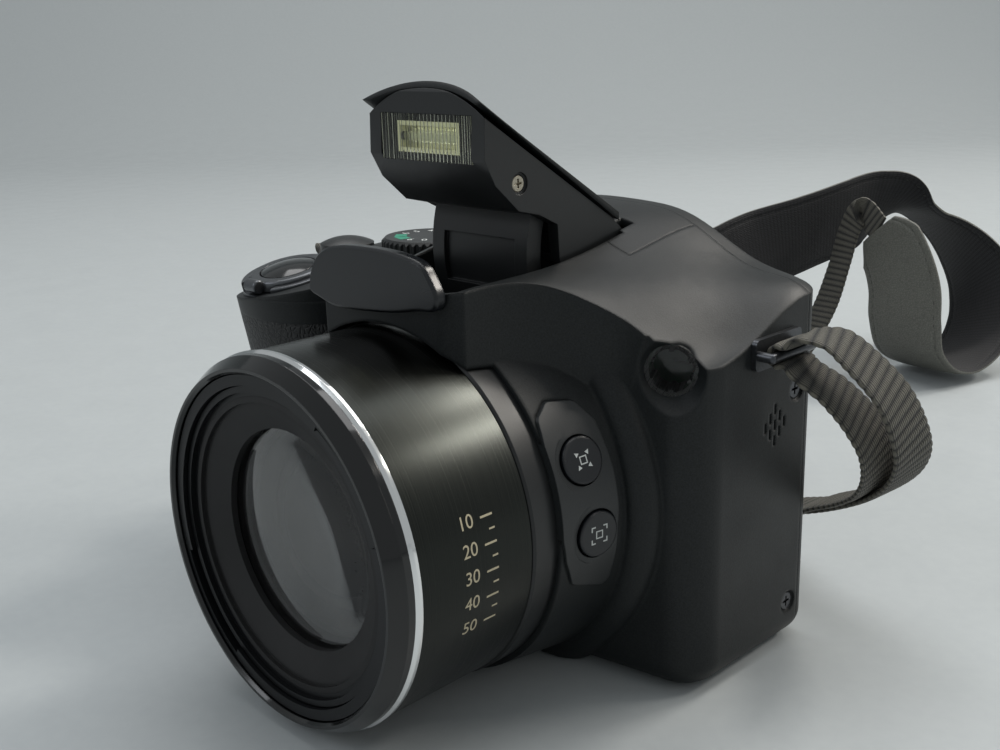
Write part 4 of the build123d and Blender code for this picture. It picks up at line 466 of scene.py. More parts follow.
# Inner elements: the same glass with a thicker coating, which tints the reflection.
INNER_GLASS = ClearPlastic("coated_inner_glass", "#efe9ec", 0.0, film=330.0, ior=1.62)
# Polycarbonate of the flash window, faintly yellow-green in its depth.
WINDOW = ClearPlastic("yellowed_polycarbonate", "#fafbe6", 0.03, ior=1.45)
# Clear polycarbonate of the lamp cup and the flash tube: thin walls that reflect little.
CUP = ClearPlastic("clear_polycarbonate", "#f4f6f6", 0.02, ior=1.36)
# Bright rolled aluminium of the reflector.
FOIL = Finish("rolled_reflector_foil", "#fbf9ea", 0.3, metallic=1.0, edge=0.0)
# Screen glass, black from behind.
SCREEN = Finish("screen_glass", "#060708", 0.08, coat=1.0, coat_roughness=0.02)
# Webbing of the strap: dull woven nylon, painted near black in its valleys as shade and olive-grey on its
# crests as sheen.
WEBBING = WovenNylon("woven_nylon_webbing", "#030303", 0.66, "#5f5c52", lift=0.2, sheen=0.08)
# Face of the neck pad: leatherette, mid grey with a soft sheen, its grain valleys painted darker as shade.
PAD_FACE = LeatherGrain("leatherette_pad_face", "#676760", 0.5, "#54544e", lift=0.05, cell=0.7)
# Underside of the neck pad: black ribbed nylon, its rib valleys painted darker as shade and its crests
# lighter as sheen.
PAD_BACK = WovenNylon("ribbed_nylon_pad_back", "#0e0e0f", 0.75, "#27272a", lift=0.14, thread=0.6, rib=1.3)
# Sewing thread of the pad's seams.
THREAD = Finish("polyester_thread", "#2b2b29", 0.7, "#3a3a37", grain=0.15, lift=0.02)
# Pad-printed ink of the plain marks.
INK_GOLD = Finish("pad_printed_gold_ink", "#a89f86", 0.5, "#b5ac93", grain=0.2, lift=0.002)
INK_GREY = Finish("pad_printed_grey_ink", "#5e605f", 0.55, "#6a6c6b", grain=0.2, lift=0.002)
INK_WHITE = Finish("pad_printed_white_ink", "#c4c8c6", 0.5, "#d2d5d3", grain=0.2, lift=0.002)
INK_PALE = Finish("pad_printed_pale_ink", "#b9bdbb", 0.5, "#c6cac8", grain=0.2, lift=0.002)
INK_GREEN = Finish("pad_printed_green_ink", "#1f7d63", 0.45, "#258b6f", grain=0.2, lift=0.002)
# Hidden pieces that an open door or a view from behind may show.
BOARD = Finish("solder_mask_board", "#0d3a20", 0.35, "#12482a", grain=0.5, lift=0.01)
CAST = Finish("cast_magnesium", "#8d8f92", 0.5, "#7c7e81", metallic=0.9, grain=0.4, lift=0.02)
CELL = Finish("printed_battery_wrap", "#17181b", 0.4, "#202226", grain=0.5, lift=0.004, edge=0.3)
CARD = Finish("moulded_card", "#12204a", 0.4, "#182a5c", grain=0.4, lift=0.004, edge=0.2)
BRASS = Finish("turned_brass", "#b08d57", 0.3, "#a27f4a", metallic=1.0, grain=0.4, lift=0.004, edge=0.1)


# Mesh building


def grid_faces(rows: int, columns: int, wrap_rows: bool = False, wrap_columns: bool = False) -> np.ndarray:
    """Quads of a grid of points, row by row.

    Args:
        rows: how many rows of points there are.
        columns: how many points a row has.
        wrap_rows: whether the last row joins the first.
        wrap_columns: whether each row closes on itself.

    Returns:
        An array of four point numbers a face.
    """
    i = np.arange(rows if wrap_rows else rows - 1)
    j = np.arange(columns if wrap_columns else columns - 1)
    a, b = np.meshgrid(i, j, indexing="ij")
    a2, b2 = (a + 1) % rows, (b + 1) % columns
    quads = np.stack([a * columns + b, a * columns + b2, a2 * columns + b2, a2 * columns + b], -1)
    return quads.reshape(-1, 4)


def build(
    name: str,
    points: np.ndarray,
    faces: list[np.ndarray],
    finish: Finish,
    uv: np.ndarray | None = None,
    smooth: bool = True,
) -> bpy.types.Object:
    """A new mesh object from points in metres and arrays of faces.

    Args:
        name: the object's name.
        points: x, y, z rows in metres.
        faces: arrays of point numbers, one array for each number of corners.
        finish: the surface.
        uv: one u, v pair for each point.
        smooth: whether the faces are shaded smooth.

    Returns:
        The linked object.
    """
    mesh = bpy.data.meshes.new(name)
    loops = [f for block in faces for f in block.tolist()]
    mesh.from_pydata(points.tolist(), [], loops)
    if uv is not None:
        layer = mesh.uv_layers.new(name="UVMap")
        corner = np.empty(len(mesh.loops), np.int64)
        mesh.loops.foreach_get("vertex_index", corner)
        layer.data.foreach_set("uv", uv[corner].astype(np.float32).ravel())
    mesh.polygons.foreach_set("use_smooth", np.full(len(mesh.polygons), smooth))
    mesh.materials.append(finish.material())
    mesh.update()
    obj = bpy.data.objects.new(name, mesh)
    bpy.context.scene.collection.objects.link(obj)
    return obj


def revolved(name: str, profile: np.ndarray, finish: Finish, steps: int = 192) -> bpy.types.Object:
    """A closed ring on the lens axis: (radius, y) points turned about Y.

    Args:
        name: the object's name.
        profile: radius and y rows in millimetres, closed, none on the axis.
        finish: the surface.
        steps: how many steps the turn has.

    Returns:
        The ring.
    """
    turn = np.linspace(0, 2 * math.pi, steps, endpoint=False)
    r, y = profile[:, 0], profile[:, 1]
    x = LENS[0] + np.cos(turn)[:, None] * r[None, :]
    z = LENS[2] + np.sin(turn)[:, None] * r[None, :]
    points = np.stack([x, np.broadcast_to(y, x.shape), z], -1).reshape(-1, 3)
    faces = grid_faces(steps, len(r), True, True)
    return build(name, place(points), [faces], finish)


def catmull(points: np.ndarray, step: float) -> np.ndarray:
    """A smooth line through points, at even steps of arc length.

    Each run is the cubic that leaves a point along the line between its two
    neighbours, and the whole is then sampled again by length.

    Args:
        points: rows of any width, the first three x, y, z in millimetres.
        step: the spacing in millimetres.

    Returns:
        Rows of the same width.
    """
    padded = np.vstack([2 * points[0] - points[1], points, 2 * points[-1] - points[-2]])
    t = np.linspace(0, 1, 40, endpoint=False)[:, None]
    p0, p1, p2, p3 = (padded[k : len(padded) - 3 + k][:, None, :] for k in range(4))
    a = -0.5 * p0 + 1.5 * p1 - 1.5 * p2 + 0.5 * p3
    b = p0 - 2.5 * p1 + 2 * p2 - 0.5 * p3
    line = ((a * t + b) * t + (-0.5 * p0 + 0.5 * p2)) * t + p1
    line = np.vstack([line.reshape(-1, points.shape[1]), points[-1]])
    gaps = np.linalg.norm(np.diff(line[:, :3], axis=0), axis=1)
    length = np.concatenate([[0], np.cumsum(gaps)])
    count = max(2, int(round(length[-1] / step)) + 1)
    even = np.linspace(0, length[-1], count)
    return np.stack([np.interp(even, length, line[:, k]) for k in range(line.shape[1])], -1)


def smooth_copy(node: str, name: str, finish: Finish, angle: float = 32.0) -> bpy.types.Object:
    """A merged copy of a CAD node, shaded smooth up to an angle, in its place.

    Args:
        node: the CAD node.
        name: the new piece's name.
        finish: the surface.
        angle: edges sharper than this many degrees stay sharp.

    Returns:
        The copy, which replaces the node.
    """
    source = bpy.data.objects[node]
    mesh = source.data.copy()
    mesh.name = name
    mesh.materials.clear()
    mesh.materials.append(finish.material())
    obj = bpy.data.objects.new(name, mesh)
    bpy.context.scene.collection.objects.link(obj)
    if mesh.has_custom_normals:
        with bpy.context.temp_override(object=obj, active_object=obj, selected_objects=[obj]):
            bpy.ops.mesh.customdata_custom_splitnormals_clear()
    merge_points(mesh)
    mesh.polygons.foreach_set("material_index", np.zeros(len(mesh.polygons), np.int32))
    mesh.polygons.foreach_set("use_smooth", np.ones(len(mesh.polygons), bool))
    mesh.set_sharp_from_angle(angle=math.radians(angle))
    weighted = obj.modifiers.new("even_shading", "WEIGHTED_NORMAL")
    weighted.keep_sharp = True
    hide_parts(node)
    return obj


def merge_points(mesh: bpy.types.Mesh) -> None:
    """Join points of a mesh that lie in one place, to a tenth of a micron."""
    loose = bmesh.new()
    loose.from_mesh(mesh)
    bmesh.ops.remove_doubles(loose, verts=loose.verts, dist=1e-7)
    loose.to_mesh(mesh)
    loose.free()


@dataclass
class Assembly:
    """A group of pieces that ride on CAD bodies."""

    made: list[bpy.types.Object] = field(default_factory=list)

    def keep(self, obj: bpy.types.Object, body: str) -> bpy.types.Object:
        """Let a piece ride on a body and report it.

        Args:
            obj: the piece.
            body: the CAD body's name.

        Returns:
            The same piece.
        """
        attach(obj, body)
        self.made.append(obj)
        log.info("%s on %s", obj.name, body)
        return obj

    def copies(self, finish: Finish, body: str, *nodes: str, angle: float = 32.0) -> None:
        """Replace nodes by smooth copies with a finish.

        Args:
            finish: the surface.
            body: the CAD body that they belong to.
            nodes: the CAD nodes.
            angle: the angle up to which they are shaded smooth.
        """
        for node in nodes:
            self.keep(smooth_copy(node, node + "_dressed", finish, angle), body)

    def paint(self, finish: Finish, *nodes: str) -> None:
        """Give CAD nodes a finish as they are."""
        for node in nodes:
            mesh = bpy.data.objects[node].data
            mesh.materials.clear()
            mesh.materials.append(finish.material())
            log.info("%s painted", node)


BODY = "camera_body"


@dataclass
class Marks(Assembly):
    """Thin printed shapes laid on flat or round surfaces."""

    depth: float = 0.03
    clearance: float = 0.004

    def flat(self, name: str, shapes: list[np.ndarray], frame: np.ndarray, finish: Finish, body: str) -> None:
        """Print polygons on a flat place.

        Each polygon is a closed outline in the frame's own plane, lifted by
        the ink's depth, with a rim down to the surface.

        Args:
            name: the piece's name.
            shapes: outlines as x, y rows in millimetres.
            frame: rows of origin, right, up and out, in millimetres.
            finish: the ink.
            body: the CAD body that it rides on.
        """
        points, faces, start = [], [], 0
        for shape in shapes:
            count = len(shape)
            low = frame[0] + shape[:, :1] * frame[1] + shape[:, 1:2] * frame[2]
            points += [low + frame[3] * self.clearance, low + frame[3] * self.depth]
            faces += prism_faces(count, start)
            start += 2 * count
        self.keep(build(name, place(np.vstack(points)), faces, finish, smooth=False), body)

    def wrapped(
        self,
        name: str,
        shapes: list[np.ndarray],
        radius: float,
        middle: tuple[float, float],
        finish: Finish,
        body: str,
    ) -> None:
        """Print polygons round the barrel: x along the axis, y round it.

        A point's height y becomes the angle y / radius about the lens axis.

        Args:
            name: the piece's name.
            shapes: outlines as x, y rows in millimetres.
            radius: the barrel's radius.
            middle: the y place on the axis and the angle of the middle, in degrees.
            finish: the ink.
            body: the CAD body that it rides on.
        """
        points, faces, start = [], [], 0
        for shape in shapes:
            count = len(shape)
            turn = math.radians(middle[1]) + shape[:, 1] / radius
            along = middle[0] + shape[:, 0]
            for r in (radius + 0.003, radius + self.depth):
                ring = [LENS[0] + r * np.cos(turn), along, LENS[2] + r * np.sin(turn)]
                points.append(np.stack(ring, -1))
            faces += prism_faces(count, start)
            start += 2 * count
        self.keep(build(name, place(np.vstack(points)), faces, finish, smooth=False), body)


def prism_faces(count: int, start: int) -> list[np.ndarray]:
    """Walls, top and foot of a prism.

    Args:
        count: how many corners its foot has.
        start: the number of its first point; the foot's points come before the top's.

    Returns:
        Arrays of outward faces.
    """
    ring = np.arange(count)
    after = (ring + 1) % count
    walls = np.stack([start + ring, start + after, start + count + after, start + count + ring], -1)
    return [walls, (start + count + ring)[None, :], (start + ring[::-1])[None, :]]


def bar(x: float, y: float, width: float, height: float) -> np.ndarray:
    """A rectangle about a place, as an outline with points along its height."""
    w, h = width / 2, height / 2
    return np.array([[x - w, y - h], [x + w, y - h], [x + w, y], [x + w, y + h], [x - w, y + h], [x - w, y]])


def bracket(x: float, y: float, size: float, thick: float, sx: int, sy: int) -> np.ndarray:
    """A corner bracket whose corner points away from the middle."""
    outline = [(0, 0), (-size, 0), (-size, -thick), (-thick, -thick), (-thick, -size), (0, -size)]
    shape = np.array([[x + sx * a, y + sy * b] for a, b in outline])
    return shape if sx * sy > 0 else shape[::-1]


# Sub-assemblies


@dataclass
class Housing(Assembly):
    """The moulded covers, the grip skin, the plate and the small fittings."""

    def make(self) -> None:
        """Dress every node of the housing."""
        self.copies(SHELL, BODY, "front_cover", "rear_cover", "top_cover")
        self.copies(GRIP, BODY, "grip_skin")
        self.copies(SATIN, BODY, "nose_plate")
        self.copies(FLAP, BODY, "thumb_rest")
        self.copies(FLAP, "side_flap", "terminal_cover")
        self.copies(CUP, BODY, "lamp_window")
        self.paint(FINE, "battery_door", "door_latch", "cable_sockets")
        self.paint(LUG_STEEL, "case_screws")
        self.copies(LUG_STEEL, BODY, "strap_lugs")
        self.paint(SCREEN, "lcd_window")
        self.paint(DULL, "lcd_panel", "battery_bay", "rear_cell")
        self.paint(CAST, "chassis", "lens_frame")
        self.paint(BOARD, "main_board", "sensor_board")
        self.paint(CELL, "battery")
        self.paint(CARD, "memory_card")
        self.paint(BRASS, "tripod_socket")
        self.paint(NICKEL, "flash_hinge_pin")


@dataclass
class Lens(Assembly):
    """The sleeve, its rings, the barrels and the glass."""

    sleeve_radius: float = 32.9
    sleeve_wall: float = 1.5
    sleeve_back: float = 62.0
    sleeve_front: float = 86.2

    def make(self) -> None:
        """Dress and build the lens."""
        self.sleeve()
        self.copies(FINE, BODY, "rear_ring")
        self.copies(CHROME, BODY, "chrome_ring")
        self.copies(GLOSS, BODY, "bezel_ring")
        self.copies(BARREL, "outer_barrel", "zoom_barrel_outer")
        self.copies(BARREL, "inner_barrel", "zoom_barrel_inner")
        self.copies(DULL, "inner_barrel", "name_ring", "lens_cell")
        self.copies(FRONT_GLASS, "inner_barrel", "front_glass")
        self.element("second_element", 15.6, -70.1, 3.2, -2.0)
        self.element("third_element", 11.5, -62.5, 2.5, 3.0)

    def sleeve(self) -> None:
        """The turned sleeve: a tube with fine lips at both ends.

        Its outside is a straight line broken by a bevel of 0.25 mm at each
        end, turned in 256 steps so that its outline stays round.
        """
        r, wall, lip = self.sleeve_radius, self.sleeve_wall, 0.25
        back, front = -self.sleeve_back, -self.sleeve_front
        span = np.linspace(back - lip, front + lip, 12)
        outside = np.stack([np.full(12, r), span], -1)
        ends = np.array([[r - lip, front], [r - wall, front], [r - wall, back], [r - lip, back]])
        obj = revolved("turned_sleeve", np.vstack([outside, ends]), SLEEVE, 256)
        obj.data.set_sharp_from_angle(angle=math.radians(30))
        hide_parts("lens_sleeve")
        self.keep(obj, BODY)

    def element(self, name: str, radius: float, y: float, thick: float, sag: float) -> None:
        """An inner lens element: two round faces, sag times the radius share squared.

        Args:
            name: the piece's name.
            radius: its edge radius in millimetres.
            y: its front rim's place.
            thick: its thickness at the rim.
            sag: how far the front face rises to its middle.
        """
        steps, rings = 96, 16
        turn = np.linspace(0, 2 * math.pi, steps, endpoint=False)
        share = np.linspace(1 / rings, 1, rings)
        front = y - sag * (1 - share**2)
        back = y + thick + 0.3 * sag * (1 - share**2)
        r = np.concatenate([share, share[::-1]]) * radius
        along = np.concatenate([front, back[::-1]])
        x = LENS[0] + r[:, None] * np.cos(turn)[None, :]
        z = LENS[2] + r[:, None] * np.sin(turn)[None, :]
        grid = np.stack([x, np.broadcast_to(along[:, None], x.shape), z], -1).reshape(-1, 3)
        poles = np.array([[LENS[0], y - sag, LENS[2]], [LENS[0], y + thick + 0.3 * sag, LENS[2]]])
        ring = np.arange(steps)
        after = (ring + 1) % steps
        first = np.stack([np.full(steps, len(grid)), after, ring], -1)
        start = (2 * rings - 1) * steps
        last = np.stack([np.full(steps, len(grid) + 1), start + ring, start + after], -1)
        faces = [grid_faces(2 * rings, steps, False, True)[:, ::-1], first[:, ::-1], last[:, ::-1]]
        obj = build(name, place(np.vstack([grid, poles])), faces, INNER_GLASS)
        tidy_normals(obj.data)
        obj.data.set_sharp_from_angle(angle=math.radians(50))
        self.keep(obj, "inner_barrel")


def tidy_normals(mesh: bpy.types.Mesh) -> None:
    """Turn all faces of a closed mesh outwards."""
    loose = bmesh.new()
    loose.from_mesh(mesh)
    bmesh.ops.recalc_face_normals(loose, faces=loose.faces)
    loose.to_mesh(mesh)
    loose.free()


@dataclass
class FlashHead(Assembly):
    """The raised flash: its shells, ribbed window, reflector and screws."""

    window_width: float = 23.4
    window_height: float = 8.0
    window_z: float = 98.0
    front: float = -53.2
    thick: float = 1.2
    middle: float = 13.2
    fit: float = 0.03
    end_pitch: float = 0.62
    middle_pitch: float = 0.95

    def make(self) -> None:
        """Dress the head and build its window."""
        self.copies(FINE, "flash_head", "flash_housing")
        self.copies(SHELL, "flash_head", "flash_cover")
        self.copies(FOIL, "flash_head", "flash_reflector")
        self.copies(NICKEL, "flash_head", "flash_screws")
        self.copies(CUP, "flash_head", "flash_tube")
        self.window()

    def window(self) -> None:
        """The fresnel window: a flat front and upright ribs on its back.

        The back's depth is a row of ridges, the absolute sine of the place
        across over the pitch: deep and close near both ends, shallow in the
        middle, with short teeth along the lower edge.
        """
        columns, rows = 470, 24
        w, h = self.window_width / 2 - self.fit, self.window_height / 2 - self.fit
        across, up = np.linspace(-w, w, columns), np.linspace(-h, h, rows)
        a, b = np.meshgrid(across, up)
        edge = np.clip((np.abs(a) - 0.52 * w) / (0.1 * w), 0, 1)
        fine = np.abs(np.sin(math.pi * a / self.end_pitch)) * 0.2
        wave = np.abs(np.sin(math.pi * a / self.middle_pitch))
        broad = wave * 0.08
        teeth = np.clip((-b - 0.55 * h) / (0.1 * h), 0, 1) * wave * 0.16
        depth = edge * fine + (1 - edge) * (broad + teeth)
        front = np.stack([self.middle + a, np.full_like(a, self.front), self.window_z + b], -1)
        rear = np.stack([self.middle + a, self.front + self.thick - depth, self.window_z + b], -1)
        points = np.vstack([front.reshape(-1, 3), rear.reshape(-1, 3)])
        sheet = grid_faces(rows, columns)
        count = rows * columns
        rim = np.concatenate(
            [
                np.arange(columns),
                np.arange(1, rows) * columns + columns - 1,
                (rows - 1) * columns + np.arange(columns - 2, -1, -1),
                np.arange(rows - 2, 0, -1) * columns,
            ]
        )
        after = np.roll(rim, -1)
        walls = np.stack([rim, rim + count, after + count, after], -1)
        faces = [sheet, sheet[:, ::-1] + count, walls]
        obj = build("ribbed_window", place(points), faces, WINDOW, smooth=False)
        tidy_normals(obj.data)
        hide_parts("flash_window")
        self.keep(obj, "flash_head")


@dataclass
class TopControls(Assembly):
    """The dial, the power button, the shutter button and its lever."""

    def make(self) -> None:
        """Dress the controls on the top."""
        self.copies(DARK_METAL, BODY, "shutter_base")
        self.copies(DARK_METAL, "zoom_ring", "zoom_lever")
        self.copies(GLOSS, "shutter", "shutter_button")
        self.copies(FINE, "power", "power_button")
        self.copies(FINE, "dial", "mode_dial")


@dataclass
class BackControls(Assembly):
    """The keys, the four-way pad and the set button."""

    def make(self) -> None:
        """Dress the controls on the back."""
        for body in ("movie", "playback", "wireless", "display", "menu"):
            self.copies(FINE, "key_" + body, body + "_key")
        self.copies(FINE, "four_way_pad", "direction_pad")
        self.copies(DULL, "pad_rocker", "pad_carrier")
        self.copies(FINE, "key_set", "set_button")


@dataclass
class AssistPanel(Assembly):
    """The raised panel on the collar with its two buttons."""

    def make(self) -> None:
        """Dress the panel and its buttons."""
        self.copies(PANEL, BODY, "assist_panel")
        self.copies(SATIN, "assist_upper", "assist_button_upper")
        self.copies(SATIN, "assist_lower", "assist_button_lower")


# Routes of the strap in millimetres: x, y, z, then the way that the band's
# width points.
LEFT_TAIL = [
    (20.5, 30.5, 4.8, 0.65, 0.75, 0.0), (14.0, 43.0, 2.4, 0.8, 0.6, 0.0), (3.0, 62.0, 1.3, 0.9, 0.4, 0.0),
    (-12.0, 88.0, 1.3, 0.9, 0.4, 0.0), (-25.0, 112.0, 1.3, 0.95, 0.3, 0.0),
    (-32.0, 134.0, 2.8, 1.0, 0.2, 0.0), (-33.5, 150.0, 10.0, 1.0, 0.1, 0.1),
    (-32.0, 162.0, 22.0, 1.0, -0.1, 0.2), (-30.5, 168.0, 36.0, 0.95, -0.25, 0.25),
    (-28.8, 170.6, 48.0, 0.93, -0.28, 0.25), (-24.6, 170.6, 54.6, 0.93, -0.28, 0.25),
]
LEFT_OUTER = [
    (66.5, -14.8, 63.6), (71.0, -12.8, 62.9), (75.4, -10.2, 58.6), (78.8, -7.2, 53.2), (80.3, -4.0, 47.0),
    (79.8, -0.5, 40.8), (76.4, 3.6, 34.8), (70.4, 7.6, 29.2), (62.4, 11.0, 24.2), (53.6, 13.8, 20.0),
]
LEFT_INNER = [
    (66.6, -14.4, 57.0), (70.4, -12.0, 53.6), (73.6, -9.0, 48.8), (75.2, -5.4, 43.2), (74.2, -1.4, 37.2),
    (70.6, 3.0, 31.6), (64.6, 7.2, 26.8), (56.8, 10.8, 22.4), (50.6, 13.4, 18.4),
]
LEFT_ADJUSTER = [(36.6, 18.9, 12.1), (-0.88, 0.27, -0.39), (0.0, 1.0, 0.0)]
RIGHT_OUTER = [
    (-66.8, -14.2, 64.8), (-71.2, -8.4, 61.4), (-74.0, -0.6, 54.2), (-74.6, 6.4, 47.6), (-73.4, 14.6, 41.6),
    (-71.6, 23.6, 36.8), (-70.2, 33.0, 33.4),
]
RIGHT_INNER = [
    (-66.6, -14.4, 57.0), (-69.0, -9.8, 53.2), (-70.8, -3.4, 48.4), (-71.4, 3.6, 43.6), (-70.8, 12.0, 38.8),
    (-70.2, 21.0, 34.8), (-70.0, 31.0, 31.6),
]
RIGHT_ADJUSTER = [(-69.8, 40.0, 30.0), (0.04, 0.97, -0.16), (0.9, 0.0, 0.3)]
RIGHT_TAIL = [
    (-69.0, 62.0, 27.6, 0.8, 0.0, 0.5), (-68.0, 78.0, 27.2, 0.6, -0.2, 0.7),
    (-66.0, 92.0, 27.6, 0.2, -0.5, 0.8), (-62.6, 105.0, 28.4, -0.1, -0.6, 0.76),
]
PAD = [
    (-56.2, 116.4, 29.4, -3.7, -8.6, 11.1), (-60.2, 126.4, 33.4, -3.7, -8.8, 11.0),
    (-54.0, 139.2, 38.9, -2.9, -9.6, 10.4), (-49.2, 151.5, 42.2, -2.8, -9.8, 10.4),
    (-42.9, 165.3, 45.8, -1.2, -10.4, 10.1), (-36.6, 181.0, 49.8, 0.1, -10.4, 10.2),
    (-33.2, 195.2, 52.3, 2.1, -11.1, 9.1), (-30.2, 205.9, 52.1, 4.0, -11.9, 7.2),
    (-26.3, 212.1, 50.0, 6.5, -11.9, 5.4), (-20.9, 217.2, 45.0, 8.9, -10.0, 5.4),
    (-13.2, 219.3, 37.6, 10.9, -7.4, 6.2), (-4.6, 217.7, 28.0, 12.5, -4.2, 5.8),
    (0.6, 213.0, 18.6, 13.3, -3.0, 4.6), (2.2, 205.8, 10.2, 13.6, -3.4, 3.2),
    (1.5, 197.2, 4.8, 13.6, -4.0, 2.0), (-0.6, 187.0, 2.6, 13.7, -4.4, 0.9),
    (-3.0, 177.4, 4.4, 13.6, -4.6, 1.2), (-5.2, 170.4, 10.6, 13.6, -4.4, 2.2),
    (-6.2, 168.0, 20.6, 13.8, -3.4, 2.9), (-7.0, 167.9, 31.0, 13.9, -3.3, 2.7),
    (-10.8, 168.1, 41.0, 13.7, -3.9, 2.9), (-17.2, 168.8, 49.4, 13.5, -4.1, 3.6),
]


def unit(vectors: np.ndarray) -> np.ndarray:
    """Vectors of length one, row by row."""
    return vectors / np.linalg.norm(vectors, axis=-1, keepdims=True)


def superellipse(count: int, power: float) -> tuple[np.ndarray, np.ndarray]:
    """A rounded flat section: the cosine and sine of a turn, each to a power with its sign kept.

    Args:
        count: how many points it has.
        power: 1 gives a circle and less gives flatter sides.

    Returns:
        Places across and out, from -1 to 1.
    """
    turn = np.linspace(0, 2 * math.pi, count, endpoint=False)
    flat = np.sign(np.cos(turn)) * np.abs(np.cos(turn)) ** power
    tall = np.sign(np.sin(turn)) * np.abs(np.sin(turn)) ** power
    return flat, tall


@dataclass
class BandLine:
    """The middle line of a band with its directions, at even steps."""

    centre: np.ndarray
    wide: np.ndarray
    up: np.ndarray
    aim: np.ndarray
    length: np.ndarray

    @classmethod
    def along(cls, route: np.ndarray, step: float) -> BandLine:
        """The line through a route.

        Args:
            route: rows of a place and a width direction, in millimetres.
            step: the spacing in millimetres.

        Returns:
            The line, its width directions square to it.
        """
        line = catmull(route, step)
        centre, wide = line[:, :3], unit(line[:, 3:])
        aim = unit(np.gradient(centre, axis=0))
        wide = unit(wide - aim * np.sum(wide * aim, axis=1, keepdims=True))
        gaps = np.linalg.norm(np.diff(centre, axis=0), axis=1)
        return cls(centre, wide, np.cross(aim, wide), aim, np.concatenate([[0], np.cumsum(gaps)]))

    def band(
        self, name: str, across: np.ndarray, out: np.ndarray, flat: np.ndarray, finish: Finish
    ) -> tuple[bpy.types.Object, np.ndarray]:
        """A closed section carried along the line, capped at both ends.

        Args:
            name: the piece's name.
            across: each point's place along the width, by row and column.
            out: each point's place along the normal.
            flat: each point's place across for the UV map.
            finish: the surface.

        Returns:
            The object, and the quads of its wall.
        """
        points = (
            self.centre[:, None, :]
            + self.wide[:, None, :] * across[:, :, None]
            + self.up[:, None, :] * out[:, :, None]
        )
        rows, columns = across.shape
        uv = np.stack(np.broadcast_arrays(self.length[:, None], flat), -1).reshape(-1, 2)
        caps = np.arange(columns)
        quads = grid_faces(rows, columns, False, True)
        faces = [quads, caps[None, ::-1], (caps + (rows - 1) * columns)[None, :]]
        return build(name, place(points.reshape(-1, 3)), faces, finish, uv), quads


